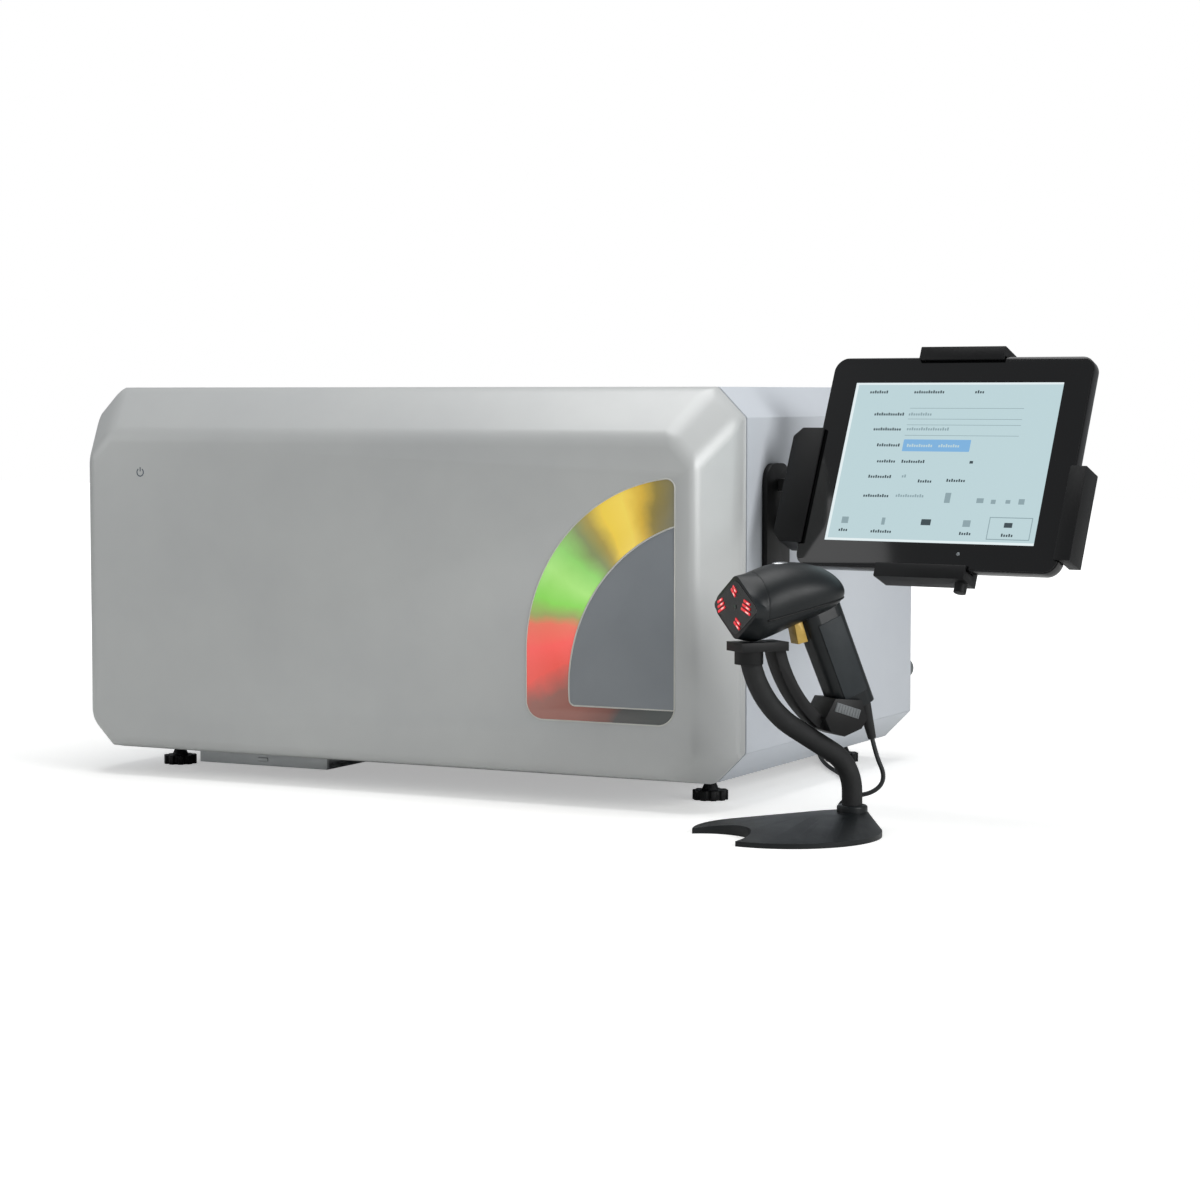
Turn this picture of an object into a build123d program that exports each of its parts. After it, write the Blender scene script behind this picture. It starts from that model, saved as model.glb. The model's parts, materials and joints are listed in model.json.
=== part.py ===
from build123d import *
import math
import os

# Automated blood culture system: a benchtop incubator whose whole front is a drawer, with a
# tablet on a hinged arm and a hand scanner on a gooseneck stand beside it.
# While modelling, x runs across from the cabinet's mid-plane, y runs to the rear from the seam
# between drawer front and cabinet, and z runs up from the bench. Sizes are in millimetres.

# Cabinet shell
cabinet_width = 636.0
cabinet_height = 324.0
cabinet_depth = 372.0
corner_chamfer = 25.0
floor_clearance = 20.0
cover_wall = 2.5
rear_wall = 2.0
frame_thickness = 10.0
seam_gap = 2.5
seal_width = 7.0
touch_gap = 0.3
sliding_gap = 0.5
shaft_gap = 0.05
cut_margin = 1.0

# Incubation chamber
side_air_gap = 15.5
liner_wall = 12.0
liner_base_gap = 14.0
electronics_bay = 85.0
heater_thickness = 3.0
heater_margin = 60.0

# Drawer front
front_depth = 58.0
front_straight = 14.0
front_wall = 4.0
face_side_inset = 21.0
face_top_inset = 40.0
face_bottom_inset = 7.0
face_corner = 22.0
inner_panel_thickness = 9.0

# Status window, set in from the cabinet's right side, top and base
window_side_margin = 37.7
window_top_margin = 73.0
window_base_margin = 51.0
window_width = 135.3
window_shoulder_rise = 56.0
window_bulge_in = 94.5
window_bulge_drop = 43.5
window_corner = 15.0
window_flange = 3.0
window_flange_thickness = 2.0
panel_top_margin = 39.0
panel_base_margin = 12.8
panel_width = 94.8
panel_bulge_in = 67.3
panel_bulge_drop = 48.0
panel_corner = 5.0
lamp_board_thickness = 1.6
lamp_height = 1.4
lamp_size = 9.0
lamp_insets = ((114.3, 142.0), (94.3, 87.0), (47.3, 27.0))

# Drawer tray and slides
slide_depth = 13.5
slide_height = 45.0
slide_wall = 1.5
slide_centre_lift = 28.0
tray_lift = 10.0
tray_wall = 2.0
tray_side_height = 52.0
tray_rear_gap = 8.0

# Rocking rack, which takes as many rows and columns of wells as its crate has room for
bottle_diameter = 36.0
bottle_gap = 1.0
well_web = 10.0
divider_thickness = 2.0
flange_thickness = 1.5
well_depth = 92.0
rack_below_pivot = 50.0
deck_thickness = 3.0
board_thickness = 1.6
cheek_thickness = 3.0
tie_bar_thickness = 4.0
tie_bar_height = 16.0
rock_angle = 20.0
swing_gap = 12.0
pivot_radius = 6.0
support_thickness = 3.0
support_inset = 7.5
support_width = 60.0

# Rocking drive
gear_module = 1.5
pinion_teeth = 12
sector_teeth = 90
pressure_angle = 20.0
gear_backlash = 0.16
gear_thickness = 5.0
gear_side_gap = 3.0
motor_radius = 12.0
motor_length = 42.0
motor_shaft_radius = 2.5

# Feet and rear
foot_pad_radius = 15.0
foot_pad_height = 8.0
foot_scallops = 10
foot_stem_radius = 4.0
foot_boss_radius = 9.0
foot_boss_height = 12.0
foot_side_inset = 50.0
foot_front_y = 38.0
foot_rear_inset = 45.0
bumper_radius = 10.0
bumper_length = 30.0
bumper_side_inset = 18.0
bumper_height = 82.0

# Fan
fan_size = 92.0
fan_depth = 25.0
fan_bore_radius = 43.0
fan_hub_radius = 17.0
fan_blade_radius = 41.0
fan_blades = 7
fan_blade_angle = 38.0
fan_blade_thickness = 1.6
fan_shaft_radius = 2.5
fan_x = 180.0
fan_z = 200.0
grille_slots = 9
grille_slot_width = 5.0

# Power inlet with its switch, and the socket block
inlet_x = -230.0
inlet_z = 95.0
inlet_width = 50.0
inlet_height = 62.0
inlet_flange = 3.0
inlet_socket_width = 25.0
inlet_socket_height = 17.0
inlet_depth = 20.0
flange_lip = 1.2
rocker_width = 14.0
rocker_height = 22.0
rocker_angle = 8.0
rocker_radius = 5.0
port_x = -120.0
port_z = 95.0
port_width = 66.0
port_height = 22.0
port_depth = 18.0

# Disc drive slung under the cabinet
disc_x = -150.0
disc_width = 134.0
disc_guide_length = 22.0
disc_height = 11.0
disc_wall = 1.2
disc_bezel_thickness = 4.0
disc_travel = 110.0
disc_recess_radius = 60.0
disc_recess_depth = 1.5
disc_button_length = 10.0
disc_button_height = 3.0
disc_button_travel = 1.0

# Tablet, its holder and its arm
tablet_width = 230.0
tablet_height = 180.0
tablet_thickness = 12.0
tablet_corner = 12.0
tablet_edge = 2.0
glass_thickness = 1.2
tablet_out_from_side = 164.4
tablet_centre_y = 7.7
tablet_top_margin = 59.3
tablet_lean = 22.7
tablet_turn = -6.8
holder_width = 150.0
holder_height = 104.0
holder_thickness = 8.0
claw_thickness = 7.5
claw_lip = 4.0
claw_lip_thickness = 2.5
top_claw_width = 75.0
bottom_claw_width = 79.0
right_claw_length = 77.0
right_claw_drop = 41.0
right_claw_width = 10.0
left_claw_length = 99.0
left_claw_drop = 22.0
left_claw_width = 23.0
claw_arm_height = 30.0
claw_arm_thickness = 4.0
claw_guide_length = 50.0
claw_travel = 12.0
tilt_axis_behind = 34.0
tilt_pin_radius = 3.5
tilt_knuckle_radius = 9.0
tilt_knuckle_length = 30.0
tilt_ear_thickness = 7.0
swivel_behind_tilt = 24.0
swivel_z = 246.0
swivel_height = 24.0
swivel_pin_radius = 5.0
arm_boss_radius = 12.0
head_plate_thickness = 6.0
arm_pivot_out = 27.0
arm_pivot_y = 62.5
arm_beam_thickness = 14.0
bracket_front_y = 29.0
bracket_rear_y = 76.0
bracket_bottom_z = 170.0
bracket_top_z = 281.0
bracket_thickness = 5.0
bracket_knuckle_height = 20.0

# Scanner stand: its own frame has x forward to the scanner's nose, y to the scanner's left
stand_out_from_side = 87.0
stand_y = -118.0
stand_heading = -128.0
base_radius = 73.0
base_rim = 4.0
base_crown = 14.5
base_hill = (-42.0, 28.0, 17.0)
bite_radius = 37.0
bite_centre = 73.0
neck_radius = 8.0
neck_collar_radius = 12.0
neck_collar_top = 20.0
neck_foot = (-57.5, 9.0)
neck_low_bend = (-57.2, 51.2)
neck_high_bend = (26.3, 102.2)
neck_top = (33.6, 142.5)
neck_low_bend_radius = 37.0
neck_high_bend_radius = 84.0

# Scanner cradle, in the stand's own forward and height
socket_radius = 11.0
socket_top = 150.0
socket_length = 17.0
saddle_reach = (6.0, 46.0)
saddle_width = 26.0
saddle_bottom = 143.0
cradle_arm_width = 18.0
cradle_arm_thickness = 9.0
cradle_arm_top = (12.0, 147.0)
cradle_arm_middle = (2.0, 119.0)
cradle_arm_foot = (-25.0, 86.0)
cup_side = 3.0
cup_profile = (
    (-24.0, 90.0),
    (-33.0, 105.0),
    (-56.0, 103.0),
    (-61.0, 88.0),
    (-56.0, 81.0),
    (-41.0, 75.5),
    (-29.0, 80.0),
)

# Scanner: forward, middle height, half width and half height of the head's sections
head_sections = (
    (-41.0, 187.0, 15.0, 7.0),
    (-33.0, 187.5, 23.5, 14.5),
    (-12.0, 187.0, 29.5, 22.0),
    (14.0, 182.0, 31.0, 26.5),
    (32.0, 176.5, 30.0, 26.5),
)
nose_width = 82.0
nose_height = 42.0
nose_depth = 13.0
nose_corner = 9.0
grip_top = (-23.0, 178.0)
grip_bottom = (-57.0, 97.0)
grip_depth_top = 34.0
grip_depth_bottom = 33.0
grip_width_top = 30.0
grip_width_bottom = 27.0
trigger_width = 12.0
trigger_pivot = (-5.0, 167.0)
trigger_pin_radius = 1.5
trigger_knuckle_radius = 3.5
trigger_blade = ((-8.5, 167.0), (-14.5, 149.0), (-6.0, 147.0), (-1.5, 167.0))
trigger_swing = 7.0
relief_top = (-67.0, 100.0)
relief_bottom = (-75.0, 71.0)
relief_top_radius = 5.5
relief_bottom_radius = 3.2

# Scanner cord: points chosen along its way, then a coil at rest behind the cabinet
cord_radius = 1.8
cord_points = (
    (-75.0, 0.0, 71.0),
    (-79.2, 0.0, 55.8),
    (-86.5, -1.0, 43.0),
    (-86.0, -3.0, 33.5),
    (-78.5, -6.5, 27.0),
    (-68.0, -13.0, 24.5),
    (-61.5, -24.0, 19.0),
    (-67.0, -39.0, 9.5),
    (-79.0, -50.0, 2.0),
)
cord_floor_points = (
    (409.0, -2.0, 1.9),
    (399.0, 30.0, 1.9),
    (384.0, 72.0, 1.9),
    (365.0, 118.0, 1.9),
    (342.0, 168.0, 1.9),
    (313.0, 219.0, 1.9),
    (281.0, 265.0, 1.9),
    (254.0, 312.0, 1.9),
    (232.0, 358.0, 1.9),
    (214.5, 392.0, 1.9),
    (211.0, 413.0, 1.9),
)
cord_tail_points = (
    (176.0, 446.0, 1.9),
    (157.0, 446.0, 1.9),
    (136.0, 441.5, 2.4),
    (118.0, 432.0, 3.4),
    (104.0, 420.0, 4.2),
)
coil_radius = 21.0
coil_height = 12.0
coil_thickness = 11.0
coil_x = 190.0
coil_y = 425.0
plug_length = 19.0
plug_width = 12.0
plug_height = 4.5
plug_grip_length = 26.0

# Values worked out from the sizes above
half_width = cabinet_width / 2
cabinet_base = floor_clearance
cabinet_top = floor_clearance + cabinet_height
cabinet_middle_z = (cabinet_base + cabinet_top) / 2
liner_outer_half = half_width - cover_wall - side_air_gap
chamber_half = liner_outer_half - liner_wall
liner_bottom = cabinet_base + liner_base_gap
liner_top = cabinet_top - liner_base_gap
chamber_floor = liner_bottom + liner_wall
chamber_ceiling = liner_top - liner_wall
rear_inner_y = cabinet_depth - rear_wall
liner_rear = rear_inner_y - electronics_bay
chamber_rear = liner_rear - liner_wall
tray_half = chamber_half - slide_depth
tray_floor = chamber_floor + tray_lift
tray_rear = chamber_rear - tray_rear_gap
support_outer = tray_half - tray_wall - support_inset
support_inner = support_outer - support_thickness
cheek_outer = support_inner - gear_side_gap - gear_thickness
crate_half = cheek_outer - cheek_thickness
well_room = bottle_diameter + 2 * bottle_gap + well_web
columns = int((2 * crate_half - divider_thickness) / well_room)
column_pitch = (2 * crate_half - divider_thickness) / columns
rack_above_pivot = well_depth - rack_below_pivot
deck_top = rack_above_pivot + deck_thickness
rock_sin = math.sin(math.radians(rock_angle))
rock_cos = math.cos(math.radians(rock_angle))
tray_inner_rear = tray_rear - tray_wall
pivot_y = (tray_inner_rear - seam_gap) / 2
rack_half_depth = (tray_inner_rear - pivot_y - swing_gap - deck_top * rock_sin) / rock_cos
crate_half_depth = rack_half_depth - tie_bar_thickness
rows = int((2 * crate_half_depth - divider_thickness) / well_room)
row_pitch = (2 * crate_half_depth - divider_thickness) / rows
rack_bottom = -rack_below_pivot - board_thickness
gear_distance = gear_module * (sector_teeth + pinion_teeth) / 2
rack_swing_low = rack_half_depth * rock_sin - rack_bottom * rock_cos
rack_room_below = max(rack_swing_low, gear_distance + motor_radius) + swing_gap / 2
pivot_z = tray_floor + tray_wall + rack_room_below
pinion_z = pivot_z - gear_distance
slide_z = tray_floor + slide_centre_lift
face_y = -front_depth
foot_x = half_width - foot_side_inset
foot_rear_y = cabinet_depth - foot_rear_inset
disc_top = cabinet_base
disc_bottom = disc_top - disc_height
disc_depth = disc_travel + disc_guide_length
arm_pivot_x = half_width + arm_pivot_out
tablet_centre = (half_width + tablet_out_from_side, tablet_centre_y, cabinet_top - tablet_top_margin)
stand_x = half_width + stand_out_from_side
window_right = half_width - window_side_margin
window_left = window_right - window_width
window_top = cabinet_top - window_top_margin
window_bottom = cabinet_base + window_base_margin
window_shoulder = window_bottom + window_shoulder_rise
panel_left = window_right - panel_width
panel_top = window_top - panel_top_margin
panel_bottom = window_bottom + panel_base_margin
rocker_z = inlet_z + inlet_height / 4
motor_right = crate_half - 2 * cheek_thickness


def upright(y, x=0.0, z=0.0):
    # Sketch plane seen from the front: local x is x and local y is z
    return Plane(origin=(x, y, z), x_dir=(1, 0, 0), z_dir=(0, -1, 0))


def sideways(x, y=0.0, z=0.0):
    # Sketch plane seen from the right: local x is y and local y is z
    return Plane(origin=(x, y, z), x_dir=(0, 1, 0), z_dir=(1, 0, 0))


def along_y(sketch, front, rear):
    return extrude(upright(front) * sketch, amount=front - rear)


def along_x(sketch, left, right, y=0.0, z=0.0):
    return extrude(sideways(left, y, z) * sketch, amount=right - left)


def block(x_range, y_range, z_range):
    size = [high - low for low, high in (x_range, y_range, z_range)]
    middle = [(low + high) / 2 for low, high in (x_range, y_range, z_range)]
    return Pos(*middle) * Box(*size)


def rod(start, end, radius, end_radius=None):
    way = Vector(*end) - Vector(*start)
    plane = Plane(origin=start, z_dir=way)
    if end_radius is None:
        return extrude(plane * Circle(radius), amount=way.length)
    return loft([plane * Circle(radius), plane.offset(way.length) * Circle(end_radius)])


def mirrored(part):
    return part + mirror(part, Plane.YZ)


def joined(pieces):
    return pieces[0] + pieces[1:]


def cabinet_outline(inset=0.0):
    cut = corner_chamfer - inset * (2 - math.sqrt(2))
    outline = Rectangle(cabinet_width - 2 * inset, cabinet_height - 2 * inset)
    return Pos(0, cabinet_middle_z) * chamfer(outline.vertices(), cut)


def centred_rectangle(x_range, z_range):
    width = x_range[1] - x_range[0]
    height = z_range[1] - z_range[0]
    return Pos(sum(x_range) / 2, sum(z_range) / 2) * Rectangle(width, height)


def foot_places():
    return [(side * foot_x, y) for y in (foot_front_y, foot_rear_y) for side in (-1, 1)]


def cabinet_shell():
    tube = along_y(cabinet_outline() - cabinet_outline(cover_wall), 0, cabinet_depth)
    split = cabinet_base + corner_chamfer
    reach = (-cabinet_width, cabinet_width)
    lower = block(reach, (-cut_margin, cabinet_depth + cut_margin), (0, split))
    return tube & lower, tube - lower


def base_pan():
    pan = cabinet_shell()[0]
    boss_top = cabinet_base + foot_boss_height
    for x, y in foot_places():
        pan += rod((x, y, cabinet_base), (x, y, boss_top), foot_boss_radius)
        pan -= rod((x, y, 0), (x, y, boss_top + cut_margin), foot_stem_radius + shaft_gap)
    slot_length = electronics_bay / 2
    slot_pitch = 2 * grille_slot_width
    slot_y = rear_inner_y - electronics_bay / 2
    for index in range(grille_slots):
        x = (index - (grille_slots - 1) / 2) * slot_pitch
        slot = Rot(0, 0, 90) * SlotOverall(slot_length, grille_slot_width)
        cut = extrude(slot, amount=cover_wall)
        pan -= Pos(x, slot_y, cabinet_base) * cut
    return pan


def outer_cover():
    return cabinet_shell()[1]


def grille_cut():
    # Vertical slots whose ends follow the fan's circle
    cut = None
    pitch = 2 * fan_blade_radius / grille_slots
    for index in range(grille_slots):
        offset = (index - (grille_slots - 1) / 2) * pitch
        reach = math.sqrt(fan_blade_radius**2 - offset**2)
        slot = SlotOverall(2 * reach, grille_slot_width, rotation=90)
        slot = Pos(fan_x + offset, fan_z) * slot
        cut = slot if cut is None else cut + slot
    return cut


def rear_panel():
    panel = along_y(cabinet_outline(cover_wall), rear_inner_y, cabinet_depth)
    panel -= along_y(grille_cut(), rear_inner_y, cabinet_depth)
    cutouts = inlet_outline(flange_lip - touch_gap) + port_outline(flange_lip - touch_gap)
    return panel - along_y(cutouts, rear_inner_y, cabinet_depth)


def chamber_opening(margin=0.0):
    return centred_rectangle(
        (-chamber_half - margin, chamber_half + margin),
        (chamber_floor - margin, chamber_ceiling + margin),
    )


def front_frame():
    ring = cabinet_outline(cover_wall) - chamber_opening()
    return along_y(ring, 0, frame_thickness)


def chamber_liner():
    shell = along_y(chamber_opening(liner_wall), frame_thickness, liner_rear)
    return shell - along_y(chamber_opening(), frame_thickness, chamber_rear)


def door_seal():
    ring = chamber_opening(seal_width) - chamber_opening()
    bead = along_y(ring, touch_gap - seam_gap, 0)
    return fillet(bead.faces().sort_by(Axis.Y)[0].outer_wire().edges(), seam_gap / 3)


def heater_plate():
    width = chamber_half - heater_margin
    top = chamber_floor + heater_thickness
    return block(
        (-width, width), (heater_margin, chamber_rear - heater_margin), (chamber_floor, top)
    )


def levelling_foot(x, y):
    pad = Circle(foot_pad_radius)
    scallop_radius = math.pi * foot_pad_radius / foot_scallops / 2
    for index in range(foot_scallops):
        angle = 2 * math.pi * index / foot_scallops
        spot = Pos(foot_pad_radius * math.cos(angle), foot_pad_radius * math.sin(angle))
        pad -= spot * Circle(scallop_radius)
    foot = extrude(pad, amount=foot_pad_height)
    nut_bottom = floor_clearance - foot_stem_radius
    nut_top = floor_clearance - touch_gap
    foot += rod((0, 0, foot_pad_height), (0, 0, nut_bottom), foot_pad_radius / 2, foot_stem_radius)
    nut = RegularPolygon(2 * foot_stem_radius, 6)
    foot += Pos(0, 0, nut_bottom) * extrude(nut, amount=nut_top - nut_bottom)
    stem_top = cabinet_base + foot_boss_height
    foot += rod((0, 0, nut_bottom), (0, 0, stem_top), foot_stem_radius)
    return Pos(x, y, 0) * foot


def rear_bumpers():
    x = half_width - bumper_side_inset
    stalk = rod(
        (x, cabinet_depth, bumper_height),
        (x, cabinet_depth + bumper_length / 2, bumper_height),
        bumper_radius / 2,
    )
    cap = rod(
        (x, cabinet_depth + bumper_length / 2, bumper_height),
        (x, cabinet_depth + bumper_length, bumper_height),
        bumper_radius,
    )
    cap = fillet(cap.edges().filter_by(GeomType.CIRCLE), bumper_radius / 4)
    return mirrored(stalk + cap)


def fan_frame():
    front = rear_inner_y - fan_depth
    outline = Pos(fan_x, fan_z) * RectangleRounded(fan_size, fan_size, fan_hub_radius / 3)
    frame = along_y(outline - Pos(fan_x, fan_z) * Circle(fan_bore_radius), front, rear_inner_y)
    plate = 2 * fan_blade_thickness
    spider = Circle(fan_hub_radius)
    for angle in (45, 135):
        spider += Rot(0, 0, angle) * Rectangle(2 * fan_bore_radius + plate, 2 * plate)
    spider -= Circle(fan_shaft_radius + shaft_gap)
    return frame + along_y(Pos(fan_x, fan_z) * spider, front, front + plate)


def fan_rotor():
    plate = 2 * fan_blade_thickness
    front = rear_inner_y - fan_depth + plate + sliding_gap
    rear = rear_inner_y - sliding_gap
    hub = rod((0, front, 0), (0, rear, 0), fan_hub_radius)
    hub += rod((0, front - plate - sliding_gap, 0), (0, front, 0), fan_shaft_radius)
    sweep_height = rear - front - sliding_gap
    chord = sweep_height / math.sin(math.radians(fan_blade_angle))
    blade = Box(fan_blade_radius, chord, fan_blade_thickness)
    blade = Rot(90 - fan_blade_angle, 0, 0) * blade
    blade = Pos(fan_blade_radius / 2, (front + rear) / 2, 0) * blade
    slab = rod((0, front, 0), (0, rear - sliding_gap, 0), fan_blade_radius)
    blade = blade & slab
    rotor = hub
    for index in range(fan_blades):
        rotor += Rot(0, 360 * index / fan_blades, 0) * blade
    return Pos(fan_x, 0, fan_z) * rotor


def inlet_outline(inset=0.0):
    return Pos(inlet_x, inlet_z) * Rectangle(inlet_width - 2 * inset, inlet_height - 2 * inset)


def port_outline(inset=0.0):
    return Pos(port_x, port_z) * Rectangle(port_width - 2 * inset, port_height - 2 * inset)


def power_inlet():
    # Flanged inlet with three blades in a recess below the rocker switch's well
    flange_rear = cabinet_depth + inlet_flange
    body_front = cabinet_depth - inlet_depth
    body = along_y(inlet_outline(flange_lip), body_front, cabinet_depth)
    flange = Pos(inlet_x, inlet_z) * RectangleRounded(inlet_width, inlet_height, inlet_flange)
    body += along_y(flange, cabinet_depth, flange_rear)
    socket_z = inlet_z - inlet_height / 4
    socket = Rectangle(inlet_socket_width, inlet_socket_height)
    socket = Pos(inlet_x, socket_z) * chamfer(socket.vertices().sort_by(Axis.Y)[2:], inlet_flange)
    body -= along_y(socket, body_front + inlet_flange, flange_rear)
    for column, lift in ((-1, 0), (0, 1), (1, 0)):
        spot = Pos(inlet_x + column * inlet_socket_width / 4, socket_z + lift * inlet_flange)
        blade = spot * Rectangle(inlet_flange / 2, 2 * inlet_flange)
        body += along_y(blade, body_front + inlet_flange, cabinet_depth)
    well = centred_rectangle(
        (inlet_x - rocker_width / 2 - sliding_gap, inlet_x + rocker_width / 2 + sliding_gap),
        (rocker_z - rocker_height / 2 - sliding_gap, rocker_z + rocker_height / 2 + sliding_gap),
    )
    body -= along_y(well, cabinet_depth - inlet_depth / 2, flange_rear)
    pin_length = inlet_width / 2 + 2 * sliding_gap
    start = (inlet_x - pin_length / 2, flange_rear - rocker_radius, rocker_z)
    end = (inlet_x + pin_length / 2, flange_rear - rocker_radius, rocker_z)
    return body + rod(start, end, inlet_flange / 2)


def power_rocker():
    # Two flats that meet in a shallow valley, turned to its switched-on place
    y = cabinet_depth + inlet_flange - rocker_radius
    rise = rocker_height / 2 * math.tan(math.radians(rocker_angle))
    half = rocker_height / 2 - sliding_gap
    outline = Polygon(
        (-rocker_radius / 2, -half / 2),
        (rocker_radius - sliding_gap, -half),
        (rocker_radius + rise - sliding_gap, -half),
        (rocker_radius - sliding_gap, 0),
        (rocker_radius + rise - sliding_gap, half),
        (rocker_radius - sliding_gap, half),
        (-rocker_radius / 2, half / 2),
        align=None,
    )
    outline -= Circle(inlet_flange / 2 + shaft_gap)
    outline = Rot(0, 0, rocker_angle) * outline
    left = inlet_x - rocker_width / 2 + sliding_gap / 2
    right = inlet_x + rocker_width / 2 - sliding_gap / 2
    return along_x(outline, left, right, y, rocker_z)


def port_block():
    body = along_y(port_outline(flange_lip), cabinet_depth - port_depth, cabinet_depth)
    body += along_y(port_outline(), cabinet_depth, cabinet_depth + rear_wall / 2)
    socket_width = port_width / 4
    for index, height in ((-1, port_height / 4), (0, port_height / 4), (1, port_height / 2)):
        spot = Pos(port_x + index * socket_width * 5 / 4, port_z)
        socket = spot * Rectangle(socket_width - rear_wall, height)
        body -= along_y(socket, cabinet_depth - port_depth + rear_wall, cabinet_depth + rear_wall)
    return body


def power_supply():
    left = foot_boss_radius + cover_wall - foot_x
    box = block(
        (left, left + 2 * electronics_bay),
        (liner_rear + sliding_gap, cabinet_depth - inlet_depth - cover_wall),
        (cabinet_base + cover_wall, cabinet_base + cover_wall + electronics_bay / 3),
    )
    return chamfer(box.edges().filter_by(Axis.Z), cover_wall)


def main_board():
    # Circuit board on stand-offs behind the chamber, with its chips and heat sink
    half = electronics_bay
    standoff = 2 * cover_wall
    board_y = liner_rear + standoff
    low, high = cabinet_middle_z - half / 3, cabinet_middle_z + half
    board = block((-half, half), (board_y, board_y + board_thickness), (low, high))
    for x in (-half + standoff, half - standoff):
        for z in (low + standoff, high - standoff):
            board += rod((x, liner_rear, z), (x, board_y, z), cover_wall)
    chip_front = board_y + board_thickness
    for x, rise, size in (
        (-half / 2, half / 2, half / 3),
        (half / 4, half / 3, half / 4),
        (half / 2, 0, half / 5),
    ):
        z = cabinet_middle_z + rise
        board += block((x, x + size), (chip_front, chip_front + cover_wall), (z, z + size))
    return board


def bevel_outline(width_inset, top_inset, bottom_inset, cut):
    height = cabinet_height - top_inset - bottom_inset
    middle = cabinet_middle_z + (bottom_inset - top_inset) / 2
    outline = Rectangle(cabinet_width - 2 * width_inset, height)
    return Pos(0, middle) * chamfer(outline.vertices(), cut)


def front_block(wall=0.0):
    # Straight edge at the seam, then a bevel on all sides up to the flat face
    straight = along_y(cabinet_outline(wall), -front_straight, -seam_gap)
    face = bevel_outline(
        face_side_inset + wall, face_top_inset + wall, face_bottom_inset + wall, face_corner
    )
    sections = [
        upright(-front_straight) * cabinet_outline(wall),
        upright(face_y + wall) * face,
    ]
    return straight + loft(sections, ruled=True)


def window_outline():
    right_top = (window_right, window_top)
    corner_bottom = (window_left, window_bottom)
    bulge = (window_right - window_bulge_in, window_top - window_bulge_drop)
    edges = [
        ThreePointArc((window_left, window_shoulder), bulge, right_top),
        Line(right_top, (window_right, window_bottom)),
        Line((window_right, window_bottom), corner_bottom),
        Line(corner_bottom, (window_left, window_shoulder)),
    ]
    outline = make_face(edges)
    corners = outline.vertices().sort_by(Axis.Y)
    outline = fillet(corners[:1] + corners[1:2], window_corner)
    tip = outline.vertices().sort_by(Axis.Y)[-1]
    return fillet([tip], window_corner / 2)


def panel_outline(grow=0.0):
    right_top = (window_right, panel_top)
    bulge = (window_right - panel_bulge_in, panel_top - panel_bulge_drop)
    edges = [
        ThreePointArc((panel_left, panel_bottom), bulge, right_top),
        Line(right_top, (window_right, panel_bottom)),
        Line((window_right, panel_bottom), (panel_left, panel_bottom)),
    ]
    outline = make_face(edges)
    left = outline.vertices().sort_by(Axis.X)[0]
    return fillet([left], panel_corner) & window_outline()


def drawer_front():
    shell = front_block() - front_block(front_wall)
    shell -= along_y(cabinet_outline(front_wall), -front_straight, 0)
    return shell - along_y(window_outline(), face_y - cut_margin, face_y + front_wall + cut_margin)


def status_window():
    ring = window_outline() - panel_outline()
    window = along_y(ring, face_y, face_y + front_wall)
    flange = offset(window_outline(), window_flange)
    back = face_y + front_wall
    return window + along_y(flange, back, back + window_flange_thickness)


def status_panel():
    return along_y(panel_outline(), face_y, face_y + front_wall)


def status_lamps():
    lamp_front = face_y + front_wall + window_flange_thickness
    board_front = lamp_front + lamp_height
    board = along_y(window_outline() - panel_outline(), board_front, board_front + lamp_board_thickness)
    for inset, drop in lamp_insets:
        lamp = Pos(window_right - inset, window_top - drop) * Rectangle(lamp_size, lamp_size)
        board += along_y(lamp, lamp_front, board_front)
    return board


def drawer_inner_panel():
    return along_y(cabinet_outline(front_wall), -seam_gap - inner_panel_thickness, -seam_gap)


def drawer_tray():
    tray_top = tray_floor + tray_side_height
    outer = block((-tray_half, tray_half), (-seam_gap, tray_rear), (tray_floor, tray_top))
    inner = block(
        (-tray_half + tray_wall, tray_half - tray_wall),
        (-seam_gap, tray_rear - tray_wall),
        (tray_floor + tray_wall, tray_top),
    )
    return outer - inner


def slide_channel(web_outside, depth, height, opens_inward):
    # One channel of a telescopic slide on the right side, web outside or inside
    low = web_outside - depth
    outline = centred_rectangle((low, web_outside), (slide_z - height / 2, slide_z + height / 2))
    shift = -slide_wall if opens_inward else slide_wall
    reach = height / 2 - slide_wall
    hollow = centred_rectangle(
        (low + shift, web_outside + shift), (slide_z - reach, slide_z + reach)
    )
    return outline - hollow


def slide_step():
    return slide_wall + sliding_gap


def fixed_rails():
    channel = slide_channel(chamber_half, slide_depth - slide_wall, slide_height, True)
    return mirrored(along_y(channel, frame_thickness, chamber_rear))


def middle_rails():
    outside = chamber_half - slide_step()
    depth = slide_depth - slide_wall - slide_step()
    height = slide_height - 2 * slide_step()
    channel = slide_channel(outside, depth - sliding_gap, height, True)
    return mirrored(along_y(channel, touch_gap, tray_rear))


def drawer_rails():
    outside = chamber_half - 2 * slide_step()
    depth = outside - tray_half
    height = slide_height - 4 * slide_step()
    channel = slide_channel(outside, depth, height, False)
    return mirrored(along_y(channel, 0, tray_rear))


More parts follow.
